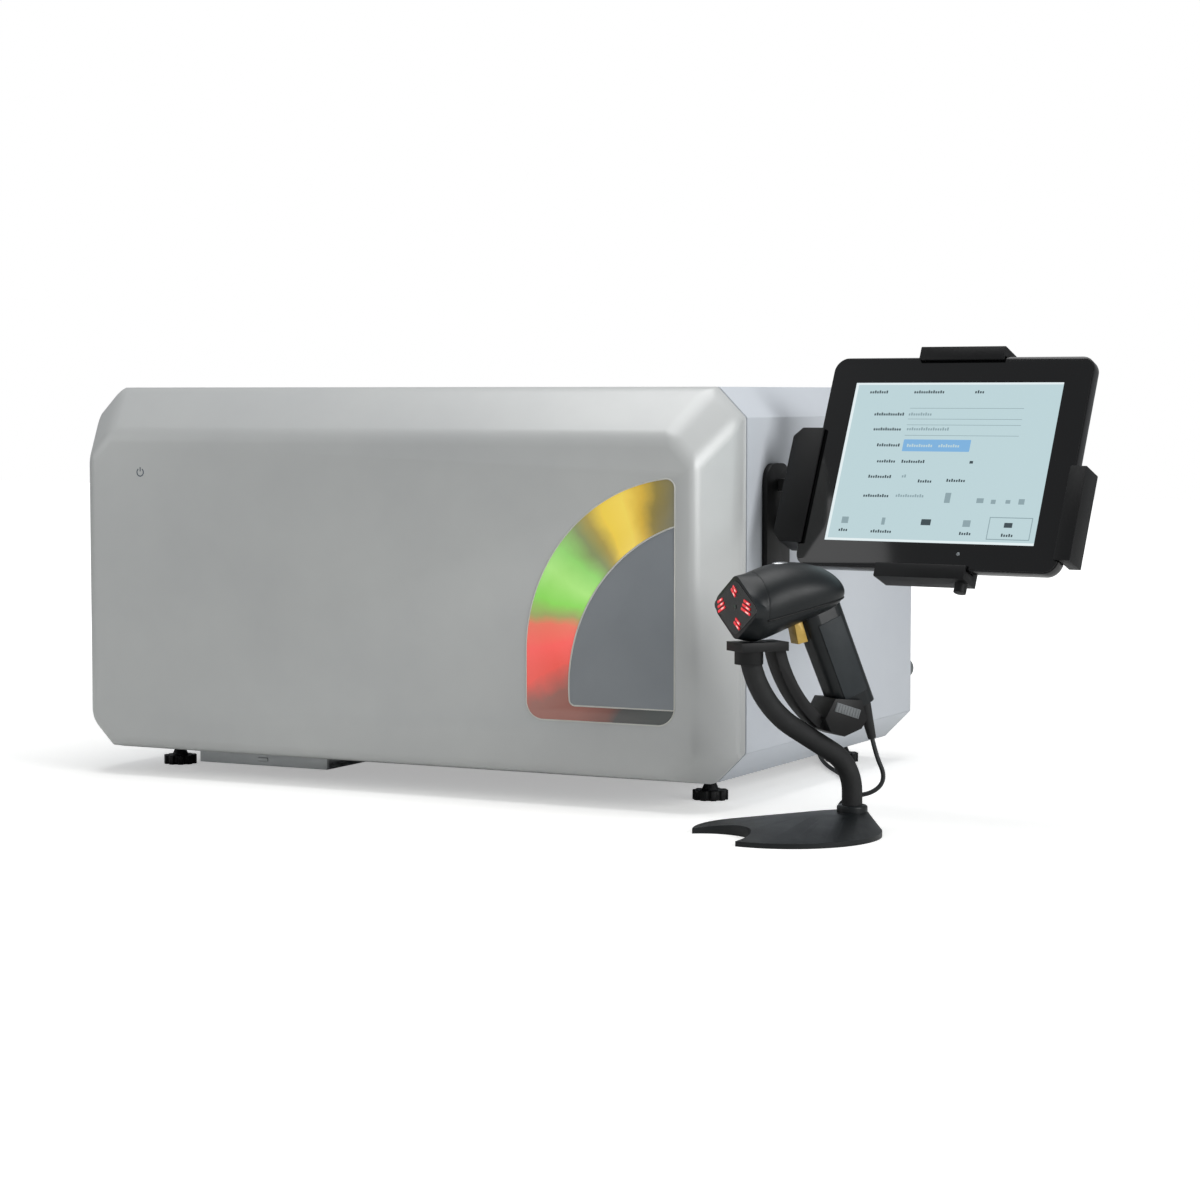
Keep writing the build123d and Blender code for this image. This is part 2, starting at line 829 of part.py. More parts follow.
def rack_supports():
    # Upright on each side of the tray with the rack's bearing hole, and its foot
    bottom = tray_floor + tray_wall
    boss = 2 * pivot_radius
    upright_outline = Polygon(
        (-support_width / 2, bottom - pivot_z),
        (support_width / 2, bottom - pivot_z),
        (boss, 0),
        (-boss, 0),
        align=None,
    )
    upright_outline += Circle(boss)
    upright_outline -= Circle(pivot_radius + shaft_gap)
    drop = pinion_z - pivot_z
    upright_outline -= Pos(0, drop) * Circle(motor_shaft_radius + shaft_gap)
    plate = along_x(upright_outline, support_inner, support_outer, pivot_y, pivot_z)
    foot = block(
        (support_outer, tray_half - tray_wall),
        (pivot_y - support_width / 2, pivot_y + support_width / 2),
        (bottom, bottom + support_thickness),
    )
    return mirrored(plate + foot)


def rack_place():
    return Pos(0, pivot_y, pivot_z)


def rack_frame():
    cheek = Rectangle(2 * rack_half_depth, rack_above_pivot - rack_bottom)
    cheek = Pos(0, (rack_above_pivot + rack_bottom) / 2) * chamfer(cheek.vertices(), tie_bar_thickness)
    side = along_x(cheek, crate_half, cheek_outer)
    side += rod((cheek_outer, 0, 0), (support_outer, 0, 0), pivot_radius)
    bars = None
    for y_range in ((-rack_half_depth, -crate_half_depth), (crate_half_depth, rack_half_depth)):
        low = -tie_bar_height / 2
        bar = block((-crate_half, crate_half), y_range, (low, low + tie_bar_height))
        bars = bar if bars is None else bars + bar
    return rack_place() * (mirrored(side) + bars)


def row_y(index):
    return (index - rows / 2) * row_pitch


def column_x(index):
    return (index - columns / 2) * column_pitch


def plate_range(middle):
    return (middle - divider_thickness / 2, middle + divider_thickness / 2)


def well_radius():
    return bottle_diameter / 2 + bottle_gap


def row_dividers():
    # Walls along the rack with a flange under the deck, slotted from above for the cross walls
    low, high = -rack_below_pivot, rack_above_pivot
    flange = (row_pitch - 2 * well_radius()) / 2
    plates = []
    for row in range(rows + 1):
        outer = row in (0, rows)
        reach = crate_half if outer else crate_half - divider_thickness
        front, rear = plate_range(row_y(row))
        plate = block((-reach, reach), (front, rear), (low, high))
        lip_front = front if row == 0 else row_y(row) - flange
        lip_rear = rear if row == rows else row_y(row) + flange
        plate += block((-reach, reach), (lip_front, lip_rear), (high - flange_thickness, high))
        for column in range(columns + 1) if outer else range(1, columns):
            left, right = plate_range(column_x(column))
            slot = (left - shaft_gap, right + shaft_gap)
            if outer:
                inside = (rear, lip_rear) if row == 0 else (lip_front, front)
                plate -= block(slot, inside, (high - flange_thickness, high))
            else:
                plate -= block(slot, (lip_front, lip_rear), ((low + high) / 2, high))
        plates.append(plate)
    return rack_place() * joined(plates)


def cross_dividers():
    # Walls across the rack, slotted from below, with a flange in each cell
    low, high = -rack_below_pivot, rack_above_pivot
    reach = crate_half_depth - divider_thickness
    flange = (column_pitch - 2 * well_radius()) / 2
    row_flange = (row_pitch - 2 * well_radius()) / 2
    plates = []
    for column in range(columns + 1):
        x = column_x(column)
        left, right = plate_range(x)
        plate = block((left, right), (-reach, reach), (low, high))
        if 0 < column < columns:
            for row in range(1, rows):
                front, rear = plate_range(row_y(row))
                slot = (front - shaft_gap, rear + shaft_gap)
                plate -= block((left, right), slot, (low, (low + high) / 2))
        lip_left = left if column == 0 else x - flange
        lip_right = right if column == columns else x + flange
        for row in range(rows):
            cell = (row_y(row) + row_flange + shaft_gap, row_y(row + 1) - row_flange - shaft_gap)
            plate += block((lip_left, lip_right), cell, (high - flange_thickness, high))
        if column in (0, columns):
            for row in range(1, rows):
                crossing = (row_y(row) - row_flange - shaft_gap, row_y(row) + row_flange + shaft_gap)
                inside = (right, lip_right) if column == 0 else (lip_left, left)
                plate -= block(inside, crossing, (high - flange_thickness, high))
        plates.append(plate)
    return rack_place() * joined(plates)


def well_places():
    return [
        ((column_x(column) + column_x(column + 1)) / 2, (row_y(row) + row_y(row + 1)) / 2)
        for row in range(rows)
        for column in range(columns)
    ]


def rack_deck():
    plate = Rectangle(2 * cheek_outer, 2 * rack_half_depth)
    for x, y in well_places():
        plate -= Pos(x, y) * Circle(well_radius())
    return Pos(0, pivot_y, pivot_z + rack_above_pivot) * extrude(plate, amount=deck_thickness)


def sensor_board():
    board = block(
        (-crate_half, crate_half), (-crate_half_depth, crate_half_depth), (rack_bottom, -rack_below_pivot)
    )
    return rack_place() * board


def involute_point(base_radius_, radius, start_angle, side):
    # Point where the involute of the base circle reaches a radius
    spread = math.sqrt(max((radius / base_radius_) ** 2 - 1, 0))
    angle = start_angle + side * (spread - math.atan(spread))
    return (radius * math.cos(angle), radius * math.sin(angle))


def tooth(teeth, middle_angle):
    # One involute tooth with arc flanks, from below the root circle to the tip
    pitch_radius = gear_module * teeth / 2
    base = pitch_radius * math.cos(math.radians(pressure_angle))
    root = pitch_radius - 1.25 * gear_module
    tip = pitch_radius + gear_module
    spread = math.tan(math.radians(pressure_angle))
    flank_turn = spread - math.atan(spread)
    half_tooth = (math.pi * gear_module / 2 - gear_backlash) / 2 / pitch_radius
    start = max(base, root)
    edges = []
    corners = []
    for side in (1, -1):
        foot_angle = middle_angle - side * (half_tooth + flank_turn)
        low = involute_point(base, start, foot_angle, side)
        high = involute_point(base, tip, foot_angle, side)
        inside = root - gear_module
        heel = (inside * math.cos(foot_angle), inside * math.sin(foot_angle))
        edges.append(ThreePointArc(low, involute_point(base, pitch_radius, foot_angle, side), high))
        edges.append(Line(heel, low))
        corners.append((heel, high))
    edges.append(Line(corners[0][0], corners[1][0]))
    edges.append(Line(corners[0][1], corners[1][1]))
    return make_face(edges)


def toothed_sector(teeth, angles):
    outline = None
    for angle in angles:
        one = tooth(teeth, angle)
        outline = one if outline is None else outline + one
    return outline


def sector_gear():
    # Toothed arc at the foot of the rack's right cheek, with two spokes up to the pivot
    step = 2 * math.pi / sector_teeth
    reach = round((rock_angle + 3 * 360 / sector_teeth) / math.degrees(step))
    down = -math.pi / 2
    teeth = toothed_sector(sector_teeth, [down + step * index for index in range(-reach, reach + 1)])
    root = gear_module * sector_teeth / 2 - 1.25 * gear_module
    rim_width = 4 * gear_module
    span = (reach + 0.5) * step
    wedge = Polygon(
        (0, 0),
        (2 * root * math.cos(down - span), 2 * root * math.sin(down - span)),
        (2 * root * math.cos(down + span), 2 * root * math.sin(down + span)),
        align=None,
    )
    rim = (Circle(root) - Circle(root - rim_width)) & wedge
    hub = Circle(3 * pivot_radius) - Circle(pivot_radius + shaft_gap)
    outline = teeth + rim + hub
    for side in (-1, 1):
        angle = down + side * (span - rim_width / root)
        spoke = Rot(0, 0, math.degrees(angle)) * Pos(root / 2 + pivot_radius, 0) * Rectangle(
            root - 3 * pivot_radius, rim_width
        )
        outline += spoke
    return along_x(outline, cheek_outer, cheek_outer + gear_thickness, pivot_y, pivot_z)


def motor_pinion():
    step = 2 * math.pi / pinion_teeth
    root = gear_module * pinion_teeth / 2 - 1.25 * gear_module
    first = math.pi / 2 + step / 2
    outline = toothed_sector(pinion_teeth, [first + step * index for index in range(pinion_teeth)])
    outline += Circle(root)
    left = cheek_outer + sliding_gap
    pinion = along_x(outline, left, cheek_outer + gear_thickness, pivot_y, pinion_z)
    shaft_left = motor_right - motor_length / 2
    return pinion + rod(
        (shaft_left, pivot_y, pinion_z), (support_outer, pivot_y, pinion_z), motor_shaft_radius
    )


def rocker_motor():
    # Geared motor under the rack on a bracket that stands on the tray
    motor_left = motor_right - motor_length
    motor = rod((motor_left, pivot_y, pinion_z), (motor_right, pivot_y, pinion_z), motor_radius)
    plate_half = motor_radius + support_thickness
    bottom = tray_floor + tray_wall
    plate = block(
        (motor_right, motor_right + support_thickness),
        (pivot_y - plate_half, pivot_y + plate_half),
        (bottom, pinion_z + motor_radius / 2),
    )
    foot = block(
        (motor_left, motor_right),
        (pivot_y - plate_half, pivot_y + plate_half),
        (bottom, pinion_z - motor_radius + shaft_gap),
    )
    bore = rod(
        (motor_right - motor_length / 2 - sliding_gap, pivot_y, pinion_z),
        (motor_right + support_thickness, pivot_y, pinion_z),
        motor_shaft_radius + shaft_gap,
    )
    return motor + plate + foot - bore


def drive_housing():
    left, right = disc_x - disc_width / 2, disc_x + disc_width / 2
    shell = block((left, right), (0, disc_depth), (disc_bottom, disc_top))
    hollow = block(
        (left + disc_wall, right - disc_wall),
        (0, disc_depth - disc_wall),
        (disc_bottom + disc_wall, disc_top - disc_wall),
    )
    return shell - hollow


def disc_tray():
    # Tray with the disc's round recess, and the silver bezel on its front
    half = disc_width / 2 - disc_wall - sliding_gap
    low = disc_bottom + disc_wall + sliding_gap
    high = disc_top - disc_wall - sliding_gap
    tray_top = (low + high) / 2 + sliding_gap
    tray = block((disc_x - half, disc_x + half), (0, disc_depth - 2 * disc_wall), (low, tray_top))
    recess_floor = (disc_x, disc_depth / 2, tray_top - disc_recess_depth)
    recess = rod(recess_floor, (disc_x, disc_depth / 2, tray_top), disc_recess_radius)
    bezel = block(
        (disc_x - disc_width / 2, disc_x + disc_width / 2),
        (-disc_bezel_thickness, -touch_gap),
        (disc_bottom, disc_top - touch_gap),
    )
    bezel += block((disc_x - half, disc_x + half), (-disc_bezel_thickness, 0), (low, tray_top))
    button_well = block(
        (disc_x - disc_button_length / 2 - touch_gap, disc_x + disc_button_length / 2 + touch_gap),
        (-disc_bezel_thickness, -disc_bezel_thickness / 4),
        button_height_range(touch_gap),
    )
    return tray - recess + bezel - button_well


def button_height_range(grow=0.0):
    middle = (disc_bottom + disc_top) / 2
    return (middle - disc_button_height / 2 - grow, middle + disc_button_height / 2 + grow)


def eject_button():
    button_rear = -disc_bezel_thickness / 4 - disc_button_travel - touch_gap
    return block(
        (disc_x - disc_button_length / 2, disc_x + disc_button_length / 2),
        (-disc_bezel_thickness - disc_button_travel, button_rear),
        button_height_range(),
    )


# Directions of the tablet: across it, up it, and out of its screen
turn = math.radians(tablet_turn)
lean = math.radians(tablet_lean)
tablet_across = Vector(math.cos(turn), math.sin(turn), 0)
tablet_level = Vector(math.sin(turn), -math.cos(turn), 0)
tablet_out = tablet_level * math.cos(lean) + Vector(0, 0, math.sin(lean))
tablet_plane = Plane(origin=tablet_centre, x_dir=tablet_across, z_dir=tablet_out)
tilt_centre = Vector(*tablet_centre) - tablet_out * tilt_axis_behind
swivel_centre = tilt_centre - tablet_level * swivel_behind_tilt


def tablet_slab(z_range, edge=0.0):
    outline = RectangleRounded(tablet_width - 2 * edge, tablet_height - 2 * edge, tablet_corner - edge)
    return Pos(0, 0, z_range[0]) * extrude(outline, amount=z_range[1] - z_range[0])


def tablet_housing():
    body = tablet_slab((-tablet_thickness, -glass_thickness))
    back_edges = body.faces().sort_by(Axis.Z)[0].edges()
    return tablet_plane.location * chamfer(back_edges, tablet_edge)


def tablet_glass():
    return tablet_plane.location * tablet_slab((-glass_thickness, 0), tablet_edge / 2)


def claw(x_range, y_range, lip_x, lip_y):
    # Block beside the tablet's edge, and the lip over its face
    back = -tablet_thickness - holder_thickness
    side = block(x_range, y_range, (back, claw_lip_thickness + touch_gap))
    lip = block(lip_x, lip_y, (touch_gap, claw_lip_thickness + touch_gap))
    return side + lip


def tablet_holder():
    back = (-tablet_thickness - holder_thickness, -tablet_thickness)
    half_x = tablet_width / 2 + touch_gap
    half_y = tablet_height / 2 + touch_gap
    holder = block((-holder_width / 2, holder_width / 2), (-holder_height / 2, holder_height / 2), back)
    holder += block((-top_claw_width / 2, top_claw_width / 2), (0, half_y), back)
    holder += block((-bottom_claw_width / 2, bottom_claw_width / 2), (-half_y, 0), back)
    right_low = -right_claw_drop - right_claw_length / 2
    right_high = right_low + right_claw_length
    arm_half = claw_arm_height / 2
    holder += block((0, half_x), (-right_claw_drop - arm_half, -right_claw_drop + arm_half), back)
    holder += claw(
        (half_x, half_x + right_claw_width),
        (right_low, right_high),
        (half_x - claw_lip, half_x),
        (right_low, right_high),
    )
    top_x = (-top_claw_width / 2, top_claw_width / 2)
    holder += claw(top_x, (half_y, half_y + claw_thickness), top_x, (half_y - claw_lip, half_y))
    bottom_x = (-bottom_claw_width / 2, bottom_claw_width / 2)
    bottom = (-half_y - claw_thickness, -half_y)
    holder += claw(bottom_x, bottom, bottom_x, (-half_y, -half_y + claw_lip))
    knob_x = bottom_claw_width / 2 - claw_thickness
    holder += Pos(knob_x, -half_y - claw_thickness, back[0] / 2) * Rot(90, 0, 0) * Cylinder(
        claw_thickness * 2 / 3, claw_thickness, align=(Align.CENTER, Align.CENTER, Align.MIN)
    )
    holder -= claw_channel()
    return tablet_plane.location * (holder + tilt_ears())


def claw_channel():
    # Slot in the holder's plate that guides the sliding claw's arm
    middle = -left_claw_drop
    half = claw_arm_height / 2 + sliding_gap
    depth = (holder_thickness - claw_arm_thickness) / 2
    low = -tablet_thickness - holder_thickness + depth
    return block(
        (-tablet_width / 2, claw_arm_inner() + sliding_gap),
        (middle - half, middle + half),
        (low - sliding_gap / 2, low + claw_arm_thickness + sliding_gap / 2),
    )


def claw_arm_inner():
    return -holder_width / 2 + claw_guide_length + claw_travel


def sliding_claw():
    half_x = tablet_width / 2 + touch_gap
    low = -left_claw_drop - left_claw_length / 2
    high = low + left_claw_length
    block_x = (-half_x - left_claw_width, -half_x)
    body = claw(block_x, (low, high), (-half_x, -half_x + claw_lip), (low, high))
    body = chamfer(body.edges().filter_by(Axis.Z).sort_by(Axis.X)[:2], claw_thickness)
    depth = (holder_thickness - claw_arm_thickness) / 2
    arm_low = -tablet_thickness - holder_thickness + depth
    body += block(
        (-half_x, claw_arm_inner()),
        (-left_claw_drop - claw_arm_height / 2, -left_claw_drop + claw_arm_height / 2),
        (arm_low, arm_low + claw_arm_thickness),
    )
    return tablet_plane.location * body


def tilt_ears():
    # Two ears behind the plate with the hinge pin between them
    plate_back = -tablet_thickness - holder_thickness
    half = tilt_knuckle_length / 2 + sliding_gap
    ear = extrude(
        Plane(origin=(half, 0, 0), x_dir=(0, 1, 0), z_dir=(1, 0, 0))
        * (
            Pos(0, -tilt_axis_behind) * Circle(tilt_knuckle_radius)
            + centred_rectangle(
                (-tilt_knuckle_radius, tilt_knuckle_radius), (-tilt_axis_behind, plate_back)
            )
        ),
        amount=tilt_ear_thickness,
    )
    reach = half + tilt_ear_thickness
    pin = rod((-reach, 0, -tilt_axis_behind), (reach, 0, -tilt_axis_behind), tilt_pin_radius)
    return mirrored(ear) + pin


def head_plane():
    # Level plane at the tilt axis: local x across, local y level and back, z up
    return Plane(origin=tilt_centre, x_dir=tablet_across, z_dir=(0, 0, 1))


def swivel_head():
    # Knuckle for the tilt hinge, carried by a fork above and below the arm's boss
    middle = swivel_z - tilt_centre.Z
    low = middle - swivel_height / 2 - touch_gap
    high = middle + swivel_height / 2 + touch_gap
    half_length = tilt_knuckle_length / 2
    radius = arm_boss_radius
    behind = swivel_behind_tilt
    web_rear = behind - radius - sliding_gap
    web_front = web_rear - head_plate_thickness
    plate = Pos(0, behind) * Circle(radius) + centred_rectangle((-radius, radius), (web_front, behind))
    head = Pos(0, 0, low - head_plate_thickness) * extrude(plate, amount=head_plate_thickness)
    head += Pos(0, 0, high) * extrude(plate, amount=head_plate_thickness)
    head += block((-radius, radius), (web_front, web_rear), (low, 0))
    head += rod((0, behind, low), (0, behind, high), swivel_pin_radius)
    head += rod((-half_length, 0, 0), (half_length, 0, 0), tilt_knuckle_radius)
    head -= rod((-2 * half_length, 0, 0), (2 * half_length, 0, 0), tilt_pin_radius + shaft_gap)
    return head_plane().location * head


def arm_link():
    # Bar with an upright boss at each end
    start = Vector(arm_pivot_x, arm_pivot_y, 0)
    end = Vector(swivel_centre.X, swivel_centre.Y, 0)
    low, high = swivel_z - swivel_height / 2, swivel_z + swivel_height / 2
    link = None
    for spot in (start, end):
        boss = rod((spot.X, spot.Y, low), (spot.X, spot.Y, high), arm_boss_radius)
        link = boss if link is None else link + boss
    way = end - start
    angle = math.degrees(math.atan2(way.Y, way.X))
    beam = Box(way.length, arm_beam_thickness, swivel_height - 2 * sliding_gap)
    link += Pos((start.X + end.X) / 2, (start.Y + end.Y) / 2, swivel_z) * Rot(0, 0, angle) * beam
    for spot in (start, end):
        bore_low, bore_high = (spot.X, spot.Y, low - cut_margin), (spot.X, spot.Y, high + cut_margin)
        link -= rod(bore_low, bore_high, swivel_pin_radius + shaft_gap)
    return link


def wall_bracket():
    # Plate on the cabinet's side with two knuckles around the arm's boss, and its pin
    plate = centred_rectangle((bracket_front_y, bracket_rear_y), (bracket_bottom_z, bracket_top_z))
    plate = fillet(plate.vertices().sort_by(Axis.Y)[2:], (bracket_rear_y - bracket_front_y) / 3)
    bracket = along_x(plate, half_width, half_width + bracket_thickness)
    low, high = swivel_z - swivel_height / 2, swivel_z + swivel_height / 2
    for bottom in (low - touch_gap - bracket_knuckle_height / 2, high + touch_gap):
        lug = Pos(arm_pivot_x, arm_pivot_y) * Circle(arm_boss_radius)
        lug += centred_rectangle(
            (half_width, arm_pivot_x), (arm_pivot_y - arm_boss_radius, arm_pivot_y + arm_boss_radius)
        )
        bracket += Pos(0, 0, bottom) * extrude(lug, amount=bracket_knuckle_height / 2)
    pin_low = low - touch_gap - bracket_knuckle_height / 2
    pin_high = high + touch_gap + bracket_knuckle_height / 2
    return bracket + rod(
        (arm_pivot_x, arm_pivot_y, pin_low), (arm_pivot_x, arm_pivot_y, pin_high), swivel_pin_radius
    )


def stand_place():
    return Pos(stand_x, stand_y, 0) * Rot(0, 0, stand_heading)


def stand_base():
    # Round plate that rises to a hill at the neck, with a bite out of its front and a collar
    hill_x, hill_length, hill_width = base_hill
    base = extrude(Circle(base_radius), amount=base_rim)
    hill = [
        Pos(0, 0, base_rim) * Circle(base_radius),
        Pos(hill_x, 0, base_crown) * Ellipse(hill_length, hill_width),
    ]
    base += loft(hill, ruled=True)
    base -= Pos(bite_centre, 0, 0) * extrude(Circle(bite_radius), amount=2 * base_crown)
    collar = rod((neck_foot[0], 0, base_rim), (neck_foot[0], 0, neck_collar_top), neck_collar_radius)
    base += fillet(collar.edges().filter_by(GeomType.CIRCLE).sort_by(Axis.Z)[-1:], base_rim / 2)
    return stand_place() * (base - neck_solid())


def neck_path():
    points = [(x, 0, z) for x, z in (neck_foot, neck_low_bend, neck_high_bend, neck_top)]
    return FilletPolyline(*points, radius=[neck_low_bend_radius, neck_high_bend_radius])


def neck_solid():
    rise = (neck_low_bend[0] - neck_foot[0], 0, neck_low_bend[1] - neck_foot[1])
    start = Plane(origin=(neck_foot[0], 0, neck_foot[1]), z_dir=rise)
    return sweep(start * Circle(neck_radius), path=neck_path())


def gooseneck():
    return stand_place() * neck_solid()


def scanner_head_solid():
    sections = []
    for forward, middle, half_width_, half_height in head_sections:
        plane = Plane(origin=(forward, 0, middle), x_dir=(0, 1, 0), z_dir=(1, 0, 0))
        sections.append(plane * Ellipse(half_width_, half_height))
    return loft(sections)


def nose_plane(depth=0.0):
    forward, middle = head_sections[-1][0], head_sections[-1][1]
    plane = Plane(origin=(forward, 0, middle), x_dir=(0, 1, 0), z_dir=(1, 0, 0))
    return plane.offset(depth)


def diamond(width, height, corner):
    outline = Polygon((-width / 2, 0), (0, -height / 2), (width / 2, 0), (0, height / 2), align=None)
    return fillet(outline.vertices(), corner)


def scanner_nose_solid():
    head = head_sections[-1]
    root = nose_plane() * Ellipse(head[2], head[3])
    tip = nose_plane(nose_depth) * diamond(nose_width, nose_height + nose_corner, nose_corner)
    return loft([root, tip])


def scanner_grip_solid():
    way = Vector(grip_bottom[0] - grip_top[0], 0, grip_bottom[1] - grip_top[1])
    top = Plane(origin=(grip_top[0], 0, grip_top[1]), x_dir=(0, 1, 0), z_dir=way)
    bottom = top.offset(way.length)
    return loft([
        top * RectangleRounded(grip_width_top, grip_depth_top, grip_width_top / 3),
        bottom * RectangleRounded(grip_width_bottom, grip_depth_bottom, grip_width_bottom / 3),
    ])


def scanner_head():
    return stand_place() * (scanner_head_solid() - trigger_room() + trigger_pin(trigger_pin_radius))


def scanner_nose():
    return stand_place() * scanner_nose_solid()


def scanner_grip():
    return stand_place() * (scanner_grip_solid() - scanner_head_solid() - trigger_room())


def stand_section(points):
    # Outline drawn in the stand's forward and height, ready to be given a width across
    return Polygon(*points, align=None)


def across(sketch, width):
    # Give an outline in forward and height its width, centred on the scanner
    return extrude(Plane.XZ.offset(-width / 2) * sketch, amount=width)


def trigger_outline():
    return stand_section(trigger_blade) + Pos(*trigger_pivot) * Circle(trigger_knuckle_radius)


def trigger_room():
    # Space the trigger sweeps through, open to the front of the grip
    turned = Pos(*trigger_pivot) * Rot(0, 0, -trigger_swing) * Pos(-trigger_pivot[0], -trigger_pivot[1])
    swept = trigger_outline() + turned * trigger_outline()
    return across(offset(swept, sliding_gap), trigger_width + 2 * sliding_gap)


def trigger_pin(radius):
    x, z = trigger_pivot
    reach = trigger_width / 2 + 2 * sliding_gap
    return rod((x, -reach, z), (x, reach, z), radius)


def scanner_trigger():
    body = across(trigger_outline(), trigger_width)
    return stand_place() * (body - trigger_pin(trigger_pin_radius + shaft_gap))


def strain_relief():
    top = (relief_top[0], 0, relief_top[1])
    bottom = (relief_bottom[0], 0, relief_bottom[1])
    relief = rod(top, bottom, relief_top_radius, relief_bottom_radius)
    return stand_place() * (relief - scanner_grip_solid())


def scanner_cradle():
    # Socket on the neck, a saddle under the head, a curved arm and a cup for the grip's end
    x, top = neck_top[0], socket_top
    cradle = rod((x, 0, top - socket_length), (x, 0, top), socket_radius)
    cradle += block(saddle_reach, (-saddle_width / 2, saddle_width / 2), (saddle_bottom, top))
    spine = ThreePointArc(
        *[(x_, 0, z_) for x_, z_ in (cradle_arm_top, cradle_arm_middle, cradle_arm_foot)]
    )
    start = Plane(origin=spine @ 0, x_dir=(0, 1, 0), z_dir=spine % 0)
    cradle += sweep(start * Rectangle(cradle_arm_width, cradle_arm_thickness), path=spine)
    cup_width = grip_width_bottom + 2 * cup_side
    cradle += across(stand_section(cup_profile), cup_width)
    for solid in (scanner_head_solid(), scanner_nose_solid(), scanner_grip_solid(), neck_solid()):
        cradle -= solid
    return stand_place() * cradle


def cord_route():
    place = stand_place()
    points = [(place * Pos(*point)).position for point in cord_points]
    return points + [Vector(*point) for point in cord_floor_points]


def corner_radii(points):
    radii = []
    for before, corner, after in zip(points, points[1:], points[2:]):
        first, second = corner - before, after - corner
        half_turn = math.radians(first.get_angle(second)) / 2
        radii.append(0.45 * min(first.length, second.length) / math.tan(half_turn))
    return radii


def cord_tube(points):
    radii = corner_radii(points)
    print("cord radii", [round(radius, 1) for radius in radii])
    path = FilletPolyline(*points, radius=radii)
    start = Plane(origin=points[0], z_dir=points[1] - points[0])
    tube = sweep(start * Circle(cord_radius), path=path)
    section = math.pi * cord_radius**2
    print("cord length", round(path.length, 1), "volume over section", round(tube.volume / section, 1))
    return tube


def scanner_cord():
    tail = [Vector(*point) for point in cord_tail_points]
    return (cord_tube(cord_route()) - coil_solid()) + (cord_tube(tail) - coil_solid() - usb_plug())


def coil_solid():
    ring = Circle(coil_radius + coil_thickness / 2) - Circle(coil_radius - coil_thickness / 2)
    return Pos(coil_x, coil_y, 0) * extrude(ring, amount=coil_height)


def cord_coil():
    return coil_solid()


def usb_plug():
    # Moulded grip and metal shell, lying on the bench beside the coil
    end, before = Vector(*cord_tail_points[-1]), Vector(*cord_tail_points[-2])
    way = Vector(end.X - before.X, end.Y - before.Y, 0)
    grip_height = 2 * (end.Z - touch_gap)
    grip = Box(plug_grip_length, plug_width + touch_gap, grip_height)
    grip = fillet(grip.edges().filter_by(Axis.X), touch_gap * 4)
    shell = Box(plug_length, plug_width, plug_height) - Pos(plug_height / 2) * Box(
        plug_length, plug_width - plug_height / 4, plug_height / 2
    )
    plug = Pos(plug_grip_length / 2) * grip
    plug += Pos(plug_grip_length + plug_length / 2) * shell
    return Plane(origin=end, x_dir=way, z_dir=(0, 0, 1)).location * plug


cord_nodes = ("scanner_cord", "cord_coil", "usb_plug")


def origin_shift(parts):
    # Moves the middle of the footprint, without the free cord, to the origin
    boxes = [part.bounding_box() for name, part in parts.items() if name not in cord_nodes]
    x = (min(box.min.X for box in boxes) + max(box.max.X for box in boxes)) / 2
    y = (min(box.min.Y for box in boxes) + max(box.max.Y for box in boxes)) / 2
    return Vector(-x, -y, 0)


def build():
    parts = {
        function.__name__: function()
        for function in (
            base_pan, outer_cover, rear_panel, front_frame, chamber_liner, door_seal, heater_plate,
            rear_bumpers, fan_frame, fan_rotor, power_inlet, power_rocker, port_block, power_supply,
            main_board, drawer_front, status_window, status_panel, status_lamps, drawer_inner_panel,
            drawer_tray, fixed_rails, middle_rails, drawer_rails, rack_supports, rack_frame,
            row_dividers, cross_dividers, rack_deck, sensor_board, sector_gear, motor_pinion,
            rocker_motor, drive_housing, disc_tray, eject_button, tablet_housing, tablet_glass,
            tablet_holder, sliding_claw, swivel_head, arm_link, wall_bracket, stand_base, gooseneck,
            scanner_head, scanner_nose, scanner_grip, scanner_trigger, strain_relief, scanner_cradle,
            scanner_cord, cord_coil, usb_plug,
        )
    }
    names = ("foot_front_left", "foot_front_right", "foot_rear_left", "foot_rear_right")
    for name, (x, y) in zip(names, foot_places()):
        parts[name] = levelling_foot(x, y)
    shift = origin_shift(parts)
    print("origin shift", round(shift.X, 3), round(shift.Y, 3))
    return {name: Pos(shift.X, shift.Y, 0) * part for name, part in parts.items()}


def main():
    os.makedirs("parts", exist_ok=True)
    for name, part in build().items():
        export_step(part, f"parts/{name}.step")


if __name__ == "__main__":
    main()
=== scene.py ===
import json
import math

import bpy
from mathutils import Matrix, Vector

